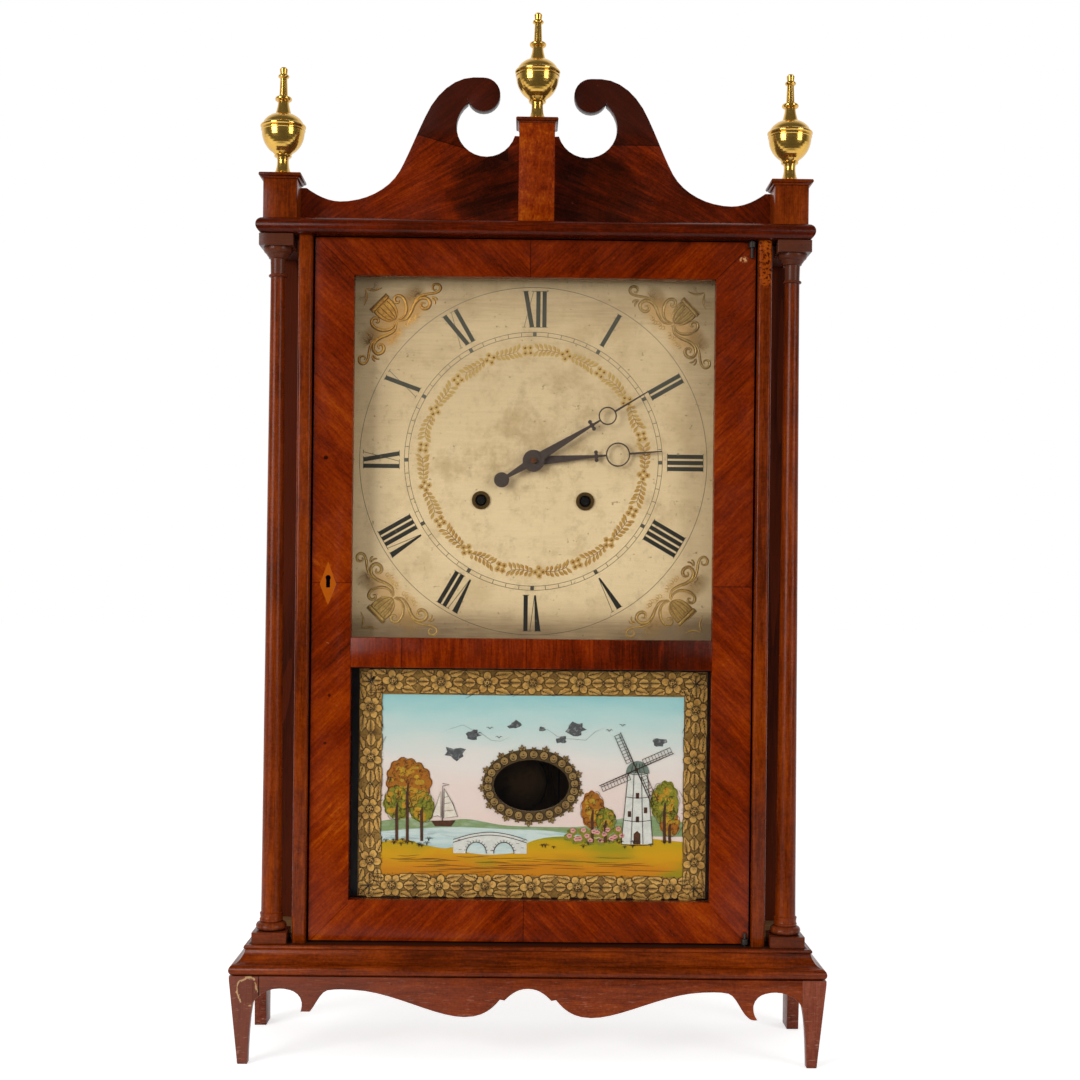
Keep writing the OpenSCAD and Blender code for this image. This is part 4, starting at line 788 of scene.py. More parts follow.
def lobed(x, z, rx, rz, lobes=9, deep=0.12, n=54):
    """A leafy outline: a round crown with lobes of uneven size."""
    start = rng.random() * TAU
    return [(x + rx * math.cos(TAU * i / n) * k, z + rz * math.sin(TAU * i / n) * k)
            for i in range(n)
            for k in [1 + deep * abs(math.sin(lobes * math.pi * i / n + start))
                      + 0.06 * math.sin(3 * TAU * i / n + start)]]


def gilding(name, bright, dull, shine=0.44):
    """Gold leaf and bronze powder over size, rubbed in places."""
    p = Paint(name, Metallic=shine)
    rub, fine = p.noise(0.01, 4, 0.65), p.noise(0.0015, 2)
    colour = p.mix((rub * 0.7 + fine * 0.3).span(0.38, 0.66), bright, dull)
    return p.surface(colour, rub.span(0.3, 0.7, 0.34, 0.54), fine, 0.05)


def flat_paint(name, *tones, size=6.0, rough=0.5, run=1):
    """Hand-laid paint, from two tones or more that drift into each other."""
    p = Paint(name, Specular_IOR_Level=0.3)
    x, y, z = p.xyz()
    drift = p.noise(size, 3, 0.6, 0.3, (x * run, y, z))
    colour = p.ramp(drift, *((0.3 + 0.4 * i / (len(tones) - 1), t) for i, t in enumerate(tones)))
    return p.surface(colour, drift.span(0.2, 0.8, rough, rough + 0.12), drift, 0.02)


# ---- The dial ----

FACE_Y = -18.0
NUMERAL_FOOT, NUMERAL_HEAD = 103.0, 130.6
TRACK_IN, TRACK_OUT, OUTER_RING = 96.0, 99.2, 133.5
WREATH_R = 85.3


def on_face(lift):
    """Marks on the dial whose fronts stand lift off its face."""
    return Marks(FACE_Y - lift, FACE_Y + 0.1, "case", "dial_paint")


def on_dial(aside, out, turn):
    """A place by its distance from the centre and aside of a clock angle in degrees."""
    a = math.radians(turn)
    return (out * math.sin(a) + aside * math.cos(a),
            DIAL_Z + out * math.cos(a) - aside * math.sin(a))


def dial_ink(name, high, low):
    """Black paint, worn through in specks, that is paler in its lower or upper half."""
    p = Paint(name, Specular_IOR_Level=0.3)
    worn = p.noise(0.004, 3, 0.7)
    colour = p.mix(p.xyz()[2].span(DIAL_Z - 90, DIAL_Z + 90), low, high)
    colour = p.mix(worn.span(0.62, 0.75, 0, 0.5), colour, (150, 138, 108))
    return p.surface(colour, 0.55, worn, 0.02)


def add_numerals():
    """Roman numerals of thick and thin strokes, each with its serifs."""
    ink, faint = on_face(0.08), on_face(0.04)
    foot, head = NUMERAL_FOOT, NUMERAL_HEAD

    def line(u0, v0, u1, v1, wide):
        (ink if wide > 1 else faint).stroke([on_dial(u0, v0, turn), on_dial(u1, v1, turn)], wide)

    def serif(u, v, half=2.4):
        line(u - half, v, u + half, v, 0.5)

    widths = {"I": 4.75, "V": 9.6, "X": 9.8}
    for hour, text in enumerate("XII I II III IIII V VI VII VIII IX X XI".split()):
        turn = hour * 30
        u = -sum(widths[c] for c in text) / 2
        for c in text:
            w = widths[c]
            if c == "I":
                line(u + w / 2, foot, u + w / 2, head, 3.2)
                serif(u + w / 2, foot)
                serif(u + w / 2, head)
            elif c == "V":
                ink.plate([on_dial(a, b, turn) for a, b in (
                    (u + w / 2 - 0.6, foot), (u + w / 2 + 0.6, foot),
                    (u + 4.7, head), (u + 0.4, head))])
                line(u + w / 2 + 0.4, foot, u + w - 1.0, head, 0.5)
                serif(u + 2.5, head, 2.6)
                serif(u + w - 1.0, head, 1.4)
            else:
                line(u + w - 2.4, foot, u + 2.4, head, 3.3)
                line(u + 1.4, foot, u + w - 1.4, head, 0.5)
                for k, v, half in ((2.4, head, 2.4), (w - 2.4, foot, 2.4), (1.4, foot, 1.4),
                                   (w - 1.4, head, 1.4)):
                    serif(u + k, v, half)
            u += w
    ink.make("dial_numerals", dial_ink("numeral_ink", (84, 82, 68), (40, 37, 29)))
    faint.make("dial_hairlines", dial_ink("hairline_ink", (140, 130, 104), (96, 86, 66)))


def add_minute_track():
    """Three hairline circles, with a tick a minute and a block each five."""
    ink = on_face(0.06)
    for r in (OUTER_RING, TRACK_OUT, TRACK_IN):
        ink.stroke([on_dial(0, r, -1.5 * i) for i in range(240)], 0.36, closed=True)
    for minute in range(60):
        turn = minute * 6
        if minute % 5:
            ink.stroke([on_dial(0, TRACK_IN, turn), on_dial(0, TRACK_OUT, turn)], 0.42)
        else:
            ink.plate([on_dial(u, v, turn) for u, v in
                       ((-1.4, 96.1), (1.4, 96.1), (1.4, 99.1), (-1.4, 99.1))])
    ink.make("dial_minute_track", dial_ink("track_ink", (112, 106, 88), (82, 76, 60)))


def wreath_paint(name, faded, strong):
    """Gilt that has kept its colour best towards the bottom of the dial."""
    p = Paint(name, Specular_IOR_Level=0.3)
    x, y, z = p.xyz()
    rub = p.noise(0.009, 3, 0.6)
    low = (z + x * -0.3).span(DIAL_Z + 60, DIAL_Z - 80)
    kept = low * 0.75 + rub.span(0.35, 0.65, -0.25, 0.3)
    bare = p.noise(0.003, 2, 0.6).span(0.6, 0.7, 0, 0.6)
    colour = p.mix(bare, p.mix(kept, faded, strong), (204, 176, 130))
    return p.surface(colour, rub.span(0.3, 0.7, 0.42, 0.55), rub, 0.03)


def add_dial_wreath():
    """Eighteen gilt flowers of four petals, and fern sprays that run between them."""
    leaves, edges, dots, rays, lights = [on_face(lift) for lift in (0.07, 0.115, 0.14, 0.04, 0.3)]
    for k in range(18):
        turn = k * 20 - 3.5
        flower = on_dial(0, WREATH_R, turn)
        for q in range(4):
            a = math.radians(q * 90 + (0 if k % 2 else 45) - turn)
            x, z = around(*flower, 2.9, a)
            rays.plate(lobed(x, z, 1.7, 1.7, 5, 0.35, 20))
            dots.plate(oval(x, z, 0.85, 0.85, 12))
            # A painted highlight, in gold, on each dot.
            lights.plate(oval(x - 0.2, z + 0.3, 0.36, 0.36, 10))
            for tilt in (-0.9, -0.45, 0, 0.45, 0.9):
                rays.stroke(ray(x, z, 0.9, 2.7, a + tilt), 0.6, ends=(1, 0.3))
        way = 1 if k % 2 else -1
        bow = rng.uniform(-1.6, 1.6)
        spine = []
        for i in range(6):
            step = turn + 4.6 - 1.15 * way + i * 2.16
            x, z = on_dial(0, WREATH_R + bow * math.sin(math.pi * i / 5), step)
            spine.append((x, z))
            t = i if way > 0 else 5 - i
            size = 4.6 + 2.0 * (t / 5) ** 0.8
            for side in (-1, 1):
                heading = math.radians(-step) + (0 if way > 0 else math.pi)
                heading += side * math.radians(56)
                heading += rng.uniform(-0.1, 0.1)
                shape = leaf(x, z, heading, size, 2.2, n=7, full=1.3)
                leaves.plate(shape)
                edges.stroke(shape[8:] + shape[:1], 0.45, ends=(0.3, 0.6))
        edges.stroke(spine, 0.5)
    leaves.make("dial_wreath_leaves", wreath_paint("wreath_gilt", (204, 170, 98), (192, 142, 58)))
    edges.make("dial_wreath_edges", wreath_paint("wreath_edges", (188, 150, 84), (126, 84, 36)))
    rays.make("dial_wreath_rays", wreath_paint("wreath_rays", (208, 172, 100), (198, 152, 72)))
    dots.make("dial_wreath_dots", flat_paint("wreath_umber", (128, 80, 38), (98, 58, 28), size=2))
    lights.make("dial_wreath_lights", gilding("wreath_lights", (240, 200, 130), (170, 120, 60)))


SCROLLS = [  # (width, points as lengths inward from the corner and to one side of that line)
    (1.9, [(42.4, 0.6), (44.2, 5.4), (42.6, 10.4), (37.6, 14.6), (32.2, 15.6), (29.2, 13.4),
           (29.4, 10.4), (32.0, 9.2), (33.6, 10.9), (32.3, 12.1)]),
    (2.1, [(43.4, 0.8), (46.8, 6.0), (45.6, 12.4), (43.0, 18.6), (42.9, 24.4), (46.0, 28.2),
           (50.4, 28.2), (52.2, 24.6), (50.8, 21.4), (47.8, 20.9), (46.5, 23.2), (48.6, 24.8)]),
    (1.6, [(44.4, 15.4), (41.6, 21.6), (42.0, 26.6), (44.5, 31.1), (47.5, 35.1), (49.1, 39.2),
           (47.8, 42.0), (44.8, 42.2), (42.8, 39.9), (43.6, 37.4), (45.8, 36.9), (46.6, 38.6)]),
    (1.2, [(48.5, 31.6), (51.0, 33.4), (53.4, 33.4)]),
    (1.1, [(49.0, 31.0), (52.0, 31.4), (54.3, 29.8)]),
    (1.1, [(8.8, 0.4), (11.6, 2.0), (14.2, 4.2), (16.6, 9.4)]),
]
RIM, APEX = 26.4, 41.6


def flute(t, n=8):
    """A line down the basket, from its rim to its foot, at t from -1 to 1 across."""
    return [(RIM + (APEX - RIM) * u, t * (7.2 * (1 - u ** 2.3) ** 0.62 + 0.7 * u))
            for u in [(i / n) ** 0.8 for i in range(n + 1)]]


def add_spandrel(side, up, name, bright, dull, umber):
    """One gilded corner: a fluted basket with scrolls, mirrored about the corner's own diagonal."""
    top = 589 if up > 0 else 316

    def at(p, q):
        return (side * (OPENING_HALF - (p - q) / math.sqrt(2)), top - up * (p + q) / math.sqrt(2))

    def fan(p, q, near, out, a):
        return [at(p - r * math.cos(a), k * (q + r * math.sin(a))) for r in (near, out)]

    shade, lines, gilt, panel = on_face(0.03), on_face(0.62), on_face(0), on_face(0.45)
    for k in (-1, 1):
        for wide, points in SCROLLS:
            line = curve([(p, k * q) for p, q in points])
            shade.stroke([at(p + 0.3, q + 0.2 * k) for p, q in line], wide * 1.3, ends=(0.5, 0.4))
            gilt.stroke([at(p, q) for p, q in line], wide * 0.76, ends=(0.5, 0.35), high=0.45)
        for i in range(8):
            q, p = k * (3.4 + i * 1.75), 50.4 + i * 0.25 + 0.9 * math.sin(i * 1.7)
            loop = [at(*around(p, q, 1.5, TAU * j / 12, 1.3)) for j in range(10)]
            gilt.stroke(loop, 0.55, ends=(0.4, 0.4), high=0.15)
        for i in range(14):
            q, p = k * rng.uniform(18, 31), rng.uniform(36, 41)
            shade.stroke([at(p, q), at(p - 3.2, q + rng.uniform(-1, 1))], 0.36, ends=(1, 0.2))
    panel.plate([at(p, q) for p, q in flute(-1) + flute(1)[::-1]])
    for i in range(9):
        t = (i - 4) / 4
        line = [at(p, q) for p, q in flute(t)]
        if i % 2:
            lines.stroke(line, 0.55, ends=(1, 0.4))
        else:
            gilt.stroke(line, 1.3, ends=(1, 0.4), high=0.75)
        if abs(t) == 1:
            shade.stroke([at(p, q * 1.09) for p, q in flute(t)], 0.9, ends=(1, 0.5))
    for p, wide, half in ((24.4, 2.6, 8.4), (26.6, 0.7, 7.7)):
        shade.stroke([at(p - 0.5, q) for q in (-half - 0.6, 0, half + 0.6)], wide * 1.5)
        gilt.stroke([at(p, q) for q in (-half, -half / 2, 0, half / 2, half)], wide, high=0.85)
    for k in (-1, 1):
        for i in range(9):
            a = -0.9 + 0.28 * i
            shade.stroke(fan(41, 25, 1.5, 6.8, a), 0.6, ends=(1, 0.1))
            shade.stroke(fan(10, 5, -2, -6, -a), 0.5, ends=(0.6, 0.1))
    shade.make(name + "_shade", flat_paint(name + "_umber", *umber, size=5))
    lines.make(name + "_lines", flat_paint(name + "_sepia", umber[1], umber[0]))
    gold = gilding(name + "_gold", bright, dull, shine=0.3)
    panel.make(name + "_panel", gold)
    gilt.make(name + "_gilt", gold, smooth=True)


def add_dial():
    add_numerals()
    add_minute_track()
    add_dial_wreath()
    strong = (96, 66, 28), (128, 92, 44), (150, 114, 62)
    faded = (128, 98, 56), (152, 120, 74), (176, 146, 98)
    add_spandrel(-1, 1, "spandrel_top_left", (248, 190, 88), (184, 126, 48), strong)
    add_spandrel(1, 1, "spandrel_top_right", (204, 170, 104), (156, 124, 70), faded)
    add_spandrel(-1, -1, "spandrel_low_left", (220, 182, 100), (170, 132, 66), faded)
    add_spandrel(1, -1, "spandrel_low_right", (214, 174, 94), (158, 120, 56), faded)


# ---- The painted tablet ----

PANE_BACK = -30.0
# Boxes as lowest x and z and highest x and z, and the clear oval as its middle and half sizes
PANE = (-136.3, 118.2, 136.3, 293.2)
GOLD = (-130.5, 118.9, 134.4, 291.9)
PICTURE = (-113.2, 134.8, 117.0, 272.6)
EYE = (1.0, 204.0, 28.7, 19.5)


def layer(number):
    """Marks on the pane's back: 0 touches the glass, and higher numbers lie behind."""
    front = PANE_BACK + 0.04 + 0.06 * number
    return Marks(front, front + 0.03, "door", "tablet_paint")


def box_outline(box, n=4):
    """A rectangle's outline with n points on each side."""
    x0, z0, x1, z1 = box
    ends = [(x0, z0), (x1, z0), (x1, z1), (x0, z1)]
    return [(a + (c - a) * i / n, b + (d - b) * i / n)
            for (a, b), (c, d) in zip(ends, ends[1:] + ends[:1]) for i in range(n)]


def clip(line, box):
    """Holds a line's points inside a box."""
    return [(min(max(x, box[0]), box[2]), min(max(z, box[1]), box[3])) for x, z in line]


def add_rosette(raised, ink, x, z, petals, size):
    """A gilt flower of round petals, drawn in brown line."""
    spin = rng.random() * TAU
    for k in range(petals):
        a = spin + TAU * k / petals
        shape = oval(*around(x, z, 5.0 * size, a), 3.4 * size, 2.9 * size, 14, a)
        raised.plate(shape)
        ink.stroke(shape, 0.5, closed=True)
        for tilt in (-0.4, -0.2, 0.0, 0.2, 0.4):
            ink.stroke(ray(x, z, 2.6 * size, (5.8 - 4 * abs(tilt)) * size, a + tilt), 0.45,
                       ends=(1, 0.2))
    for k in range(46):
        a = TAU * k / 46
        if abs(math.sin(a - 0.9)) > 0.3:
            ink.stroke(ray(x, z, 8.0 * size, (8.8 + 0.9 * math.sin(k * 2.4)) * size, a), 0.34,
                       ends=(1, 0.3))
    raised.plate(oval(x, z, 2.8 * size, 2.8 * size, 14))
    ink.stroke(oval(x, z, 2.8 * size, 2.8 * size, 16), 0.6, closed=True)
    ink.stroke([around(x, z, 1.7, b) for b in (-2.4, -1.9, -1.4, -0.9, -0.4, 0.1)], 1.0,
               ends=(0.2, 0.2))
    ink.plate(oval(x, z, 0.7 * size, 0.7 * size, 10))


def acanthus(raised, ink, x, z, heading, long, box):
    """A lobed leaf with its midrib and veins, kept inside the band."""
    shape = clip(leaf(x, z, heading, long, 6.2, lobes=4, n=14), box)
    raised.plate(shape)
    ink.stroke(shape, 0.45, closed=True)
    ink.stroke([(x, z), around(x, z, long * 0.85, heading)], 0.6, ends=(1, 0.3))
    for j in (0.15, 0.27, 0.39, 0.51, 0.63, 0.75):
        foot = around(x, z, long * j, heading)
        for side in (-0.6, 0.6):
            end = around(*foot, 1.5 + 1.6 * math.sin(math.pi * j), heading + side)
            if box[0] < end[0] < box[2] and box[1] < end[1] < box[3]:
                ink.stroke([foot, end], 0.5, ends=(1, 0.2))


def add_border():
    """The gilt band with rosettes and leaves, and the black margin round it."""
    black, base, hatch, raised, ink = [layer(number) for number in (5, 4, 3, 2, 0)]
    (x0, z0, x1, z1), (a0, b0, a1, b1) = GOLD, PICTURE
    black.frame(box_outline(GOLD), box_outline(PANE))
    base.frame(box_outline(PICTURE), box_outline(GOLD))
    left, right, low, high = (x0 + a0) / 2, (x1 + a1) / 2, (z0 + b0) / 2, (z1 + b1) / 2
    half_w, half_h = 8.6, 9.0  # half the band's width at the sides, and at top and bottom
    corners = [(left, high), (right, high), (right, low), (left, low)]
    seats = []
    for (ax, az), (bx, bz), count in zip(corners, corners[1:] + corners[:1], (7, 4, 7, 4)):
        for i in range(count):
            t = (i + 0.5) / count
            seats.append((ax + (bx - ax) * t, az + (bz - az) * t, math.atan2(bz - az, bx - ax),
                          math.hypot(bx - ax, bz - az) / count))
    for number, (x, z, turn, pitch) in enumerate(seats):
        x, z = x + rng.uniform(-0.5, 0.5), z + rng.uniform(-0.5, 0.5)
        add_rosette(raised, ink, x, z, 6 if number % 2 else 5, 1.06)
        level_band = abs(math.sin(turn)) < 0.5
        band = (x0, z - half_h, x1, z + half_h) if level_band else (x - half_w, z0, x + half_w, z1)
        for way in (0, math.pi):
            for tilt, bend in ((0.78, 0.34), (-0.78, -0.34)):
                acanthus(raised, ink, *around(x, z, 7.6, turn + way + tilt),
                         turn + way + bend + rng.uniform(-0.2, 0.2),
                         pitch * 0.5 - 4.4 + rng.uniform(-1.2, 1.8), band)
            acanthus(raised, ink, *around(x, z, 8.6, turn + way), turn + way,
                     pitch * 0.5 - 7.0, band)
    for (x, z), way in zip(corners, (-0.25, -0.75, 0.75, 0.25)):
        for k in (-1, 0, 1):
            acanthus(raised, ink, x, z, (way + 1) * math.pi + k * 0.8, 11.0,
                     (x - half_w, z - half_h, x + half_w, z + half_h))
    for k in range(1500):
        t = rng.random()
        if rng.random() < 0.62:
            x, z = x0 + (x1 - x0) * t, rng.choice((low, high)) + rng.uniform(-8.4, 8.4)
        else:
            x, z = rng.choice((left, right)) + rng.uniform(-8.6, 8.6), z0 + (z1 - z0) * t
        if x0 + 1 < x < x1 - 1 and z0 + 1 < z < z1 - 1:
            a = 0.6 + rng.uniform(-0.3, 0.3)
            hatch.stroke([(x, z), around(x, z, rng.uniform(0.9, 2.6), a)], 0.5)
    hatch.make("tablet_gold_hatching", flat_paint("gold_shade", (70, 50, 20), (96, 70, 30)))
    black.make("tablet_margin", flat_paint("margin_black", (9, 9, 11), (18, 17, 17), rough=0.3))
    base.make("tablet_gold_ground", gilding("gold_ground", (178, 136, 64), (120, 84, 34)))
    raised.make("tablet_gold_leaves", gilding("gold_leaves", (244, 192, 102), (188, 136, 58)))
    ink.make("tablet_gold_lines", flat_paint("gold_lines", (58, 40, 16), (38, 25, 10)))


def add_eye_wreath():
    """The clear oval that shows the bob, in its gilt wreath of berries."""
    x, z, rx, rz = EYE
    ground, berries, ink = layer(4), layer(2), layer(0)
    ground.frame(oval(x, z, rx, rz, 72), oval(x, z, rx + 8.6, rz + 8.4, 72))
    count = 26
    for k in range(count):
        a = TAU * (k + 0.3) / count
        cx, cz = around(x, z, rx + 4.4, a, rz + 4.3)
        berries.plate(oval(cx, cz, 3.2, 3.2, 16))
        ink.stroke(oval(cx, cz, 3.2, 3.2, 18), 0.6, closed=True)
        ink.stroke([around(cx, cz, 1.7, b) for b in (-2.6, -2.2, -1.8, -1.4, -1.0, -0.6)], 0.7,
                   ends=(0.3, 0.3))
        ink.plate(oval(cx, cz + 0.4, 0.55, 0.55, 8))
        heading = math.atan2(math.sin(a) * (rx + 6), math.cos(a) * (rz + 6))
        out, tilts, long, taper, wide = (
            (7.4, (-0.75, 0, 0.75), 4.8, 1, 2.2) if k % 2 else (7.2, (-0.5, 0.5), 3.0, 0, 1.7))
        for tilt in tilts:
            shape = leaf(*around(x, z, rx + out, a, rz + out), heading + tilt,
                         long - taper * abs(tilt), wide, n=6)
            berries.plate(shape)
            ink.stroke(shape, 0.34, closed=True)
    ground.make("wreath_ground", gilding("wreath_ground", (104, 80, 40), (66, 48, 22)))
    berries.make("wreath_berries", gilding("wreath_gold", (190, 154, 90), (132, 100, 50)))
    ink.make("wreath_lines", flat_paint("wreath_ink", (52, 34, 14), (34, 22, 8)))


def banded_paint(name, run, size, sway, foot, tall, stops, grass=None):
    """Paint that runs from stop to stop over a height of tall above foot, in bands that sway."""
    p = Paint(name, Specular_IOR_Level=0.3)
    x, y, z = p.xyz()
    drift = p.noise(size, 3, 0.6, place=(x * run, y, z))
    colour = p.ramp((z + (drift - 0.5) * sway - foot) / tall, *stops)
    if grass:
        clumps = p.noise(22, 2, 0.5, place=(x * 0.35, y, z)).span(0.52, 0.72, 0, 0.75)
        colour = p.mix(clumps, colour, grass)
    return p.surface(colour, 0.5, drift, 0.02)


def within(x, z, rx, rz, fill):
    """A random place in an oval."""
    a, r = rng.random() * TAU, math.sqrt(rng.random()) * fill
    return around(x, z, rx * r, a, rz * r)


def foliage(crowns, ink, lights, x, z, rx, rz, curls, lobes):
    """A tree's crown with light clumps and looped brush marks."""
    crowns.plate(lobed(x, z, rx, rz, lobes))
    for k in range(int(curls * 0.5)):
        spot = within(x, z, rx, rz, 0.82)
        lights.plate(lobed(*spot, rng.uniform(1.3, 2.6), rng.uniform(1.0, 1.9), 5, 0.2, 18))
    for k in range(curls):
        spot = within(x, z, rx, rz, 0.96)
        size, turn = rng.uniform(0.8, 1.7), rng.random() * 2.0
        ink.stroke([around(*spot, size, turn + b) for b in (0, 0.6, 1.2, 1.8, 2.4, 3.0)], 0.34,
                   ends=(0.4, 0.4))
    ink.stroke(lobed(x, z, rx * 0.98, rz * 0.98, lobes), 0.3, closed=True)


def tuft(ink, x, z, size):
    """A curly clump of grass."""
    for k in range(4):
        lean, reach = (k - 1.5) * 0.42, size * (1 - 0.12 * abs(k - 1.5))
        c, s = math.cos(lean), math.sin(lean)
        blade = [(x, z), (x + reach * 0.5 * math.sin(lean * 0.5), z + reach * 0.55),
                 (x + reach * 1.1 * s, z + reach * c * 0.9),
                 (x + reach * 1.5 * s, z + reach * c * 0.66)]
        ink.stroke(curve(blade, 3), 0.3, ends=(1, 0.3))


def add_mill(walls, dark, caps, ink):
    """A smock mill on its knoll."""
    x, foot, top, foot_half, top_half = 82.0, 160.0, 214.0, 12, 7.4
    walls.plate([(x - foot_half, foot), (x + foot_half, foot),
                 (x + top_half, top), (x - top_half, top)])
    for t in (0.0, 0.34, 0.67, 1.0):
        half = 12 - 4.6 * t
        z = foot + (top - foot) * t
        ink.stroke([(x - half, z), (x - half * 0.4, z - 0.8),
                    (x + half * 0.4, z - 0.8), (x + half, z)], 0.45)
    for k in (-1, -0.38, 0.38, 1):
        ink.stroke([(x + foot_half * k, foot), (x + top_half * k, top)], 0.4)
    for k, z in ((0, 197), (-0.66, 183), (0.7, 186), (0.02, 179)):
        cx = x + 9 * k
        dark.plate([(cx + a * 1.3, z + b * 2.2) for a, b in ((-1, -1), (1, -1), (1, 1), (-1, 1))])
        ink.stroke([(cx, z - 2.2), (cx, z + 2.2)], 0.3)
    dark.plate([(x - 2.6, foot), (x + 2.6, foot), (x + 2.6, foot + 8), (x, foot + 10.2),
                (x - 2.6, foot + 8)])
    caps.plate([(x - 9.4, top)] + arch(x, top, 9.0, 9.5, 14)[::-1] + [(x + 9.4, top)])
    for k in (-0.6, -0.2, 0.2, 0.6):
        ink.stroke([(x + 9 * k, top), (x + 5.6 * k, top + 7.6)], 0.34)
    hub = (x - 1.0, top + 3.0)
    for k in range(4):
        a = 0.42 + k * math.pi / 2
        c, s = math.cos(a), math.sin(a)

        def sail(r, w):
            return (hub[0] + r * c - w * s, hub[1] + r * s + w * c)

        ink.stroke([hub, sail(31, 0)], 0.9, ends=(1, 0.5))
        for w in (1.6, 5.2):
            ink.stroke([sail(r, w) for r in (7, 30)], 0.4)
        for i in range(10):
            ink.stroke([sail(7 + i * 2.55, w) for w in (0, 5.2)], 0.34)
    ink.plate(oval(*hub, 1.4, 1.4, 10))


def add_bridge(walls, ink):
    """A low stone bridge of two arches over the stream."""
    x0, x1, foot, middles = -58, -2, 152, (-19.5, -40.5)
    deck = curve([(x0, 162.5), (-44, 166.6), (-30, 168.2), (-16, 166.6), (x1, 162.5)], 5)
    under = [(x1, foot)]
    for cx in middles:
        under += arch(cx, foot, 7.6, 8.4)
    under.append((x0, foot))
    walls.plate(deck[::-1] + under[::-1])
    for lift in (0.0, -2.2):
        ink.stroke([(x, z + lift) for x, z in deck], 0.45)
    for cx in middles:
        ink.stroke(arch(cx, foot, 7.8, 8.7), 0.5)
        for i in range(1, 12):
            a = math.pi * i / 12
            ink.stroke([around(cx, foot, r, a, r + 0.9) for r in (7.8, 9.6)], 0.3)
    for k in range(26):
        cx, cz = rng.uniform(-57, -3), rng.uniform(152.6, 163)
        if min(abs(cx - middle) for middle in middles) > 10 - (cz - foot) * 0.3:
            ink.stroke([(cx, cz), (cx + 2.2, cz)], 0.28)


def add_boat(sails, hulls, ink):
    """A small boat with two sails and a pennant."""
    x, z = -66.0, 174.0
    hulls.plate([(x - 9, z + 2.6), (x - 6, z - 1.6), (x + 6.4, z - 1.6), (x + 9.6, z + 3.0)])
    ink.stroke([(x - 0.6, z + 2), (x - 0.6, z + 29)], 0.7, ends=(1, 0.4))
    for points in (((0.6, 4.6), (11.0, 6.0), (7.4, 15.6), (0.6, 27.2)),
                   ((-1.8, 25.0), (-8.6, 5.4), (-4.0, 6.4), (-1.6, 5.2))):
        shape = [(x + a, z + b) for a, b in points]
        sails.plate(shape)
        ink.stroke(shape, 0.4, closed=True)
    for k in (10, 15.6, 20.4):
        ink.stroke([(x + 0.8, z + k), (x + 11 - k * 0.34, z + k + 0.8)], 0.28)
    ink.stroke([(x - 0.6, z + 29), (x + 4.6, z + 30.2), (x - 0.6, z + 31)], 0.5)


SKY = ((0.0, (232, 208, 196)), (0.30, (236, 216, 204)), (0.52, (232, 224, 214)),
       (0.70, (206, 220, 212)), (0.86, (182, 216, 210)), (1.0, (154, 206, 204)))
LAWN = ((0.0, (192, 122, 0)), (0.2, (204, 130, 0)), (0.45, (208, 154, 0)),
        (0.68, (190, 156, 2)), (0.86, (140, 140, 20)), (1.0, (108, 124, 32)))
PICTURE_PAINTS = (  # (piece, layer, material, size of its drift, run along x, tones)
    ("water", 10, "water_paint", 5, 0.15, ((176, 206, 204), (206, 218, 210), (160, 192, 190))),
    ("hills", 11, "hill_paint", 7, 0.3, ((150, 172, 140), (128, 150, 96), (170, 182, 150))),
    ("rust_trees", 8, "rust_leaves", 3, 1, ((120, 62, 10), (176, 104, 12), (134, 96, 20))),
    ("green_trees", 7, "green_leaves", 3, 1, ((84, 88, 20), (140, 136, 30), (104, 108, 30))),
    ("leaf_lights", 6, "leaf_lights", 4, 1, ((206, 170, 36), (184, 128, 22), (168, 160, 52))),
    ("walls", 5, "wall_paint", 4, 1, ((226, 224, 212), (204, 204, 194))),
    ("mill_cap", 4, "cap_paint", 3, 1, ((122, 136, 122), (98, 112, 100))),
    ("darks", 3, "dark_paint", 3, 1, ((92, 50, 22), (64, 40, 24))),
    ("flowers", 2, "flower_paint", 3, 1, ((224, 168, 158), (206, 128, 120))),
    ("sails", 5, "sail_paint", 4, 1, ((238, 230, 214), (220, 206, 184))),
    ("losses", 9, "paint_loss", 3, 1, ((104, 108, 108), (72, 74, 74), (150, 152, 148))),
    ("lines", 0, "picture_ink", 3, 1, ((58, 36, 18), (36, 26, 16))),
)


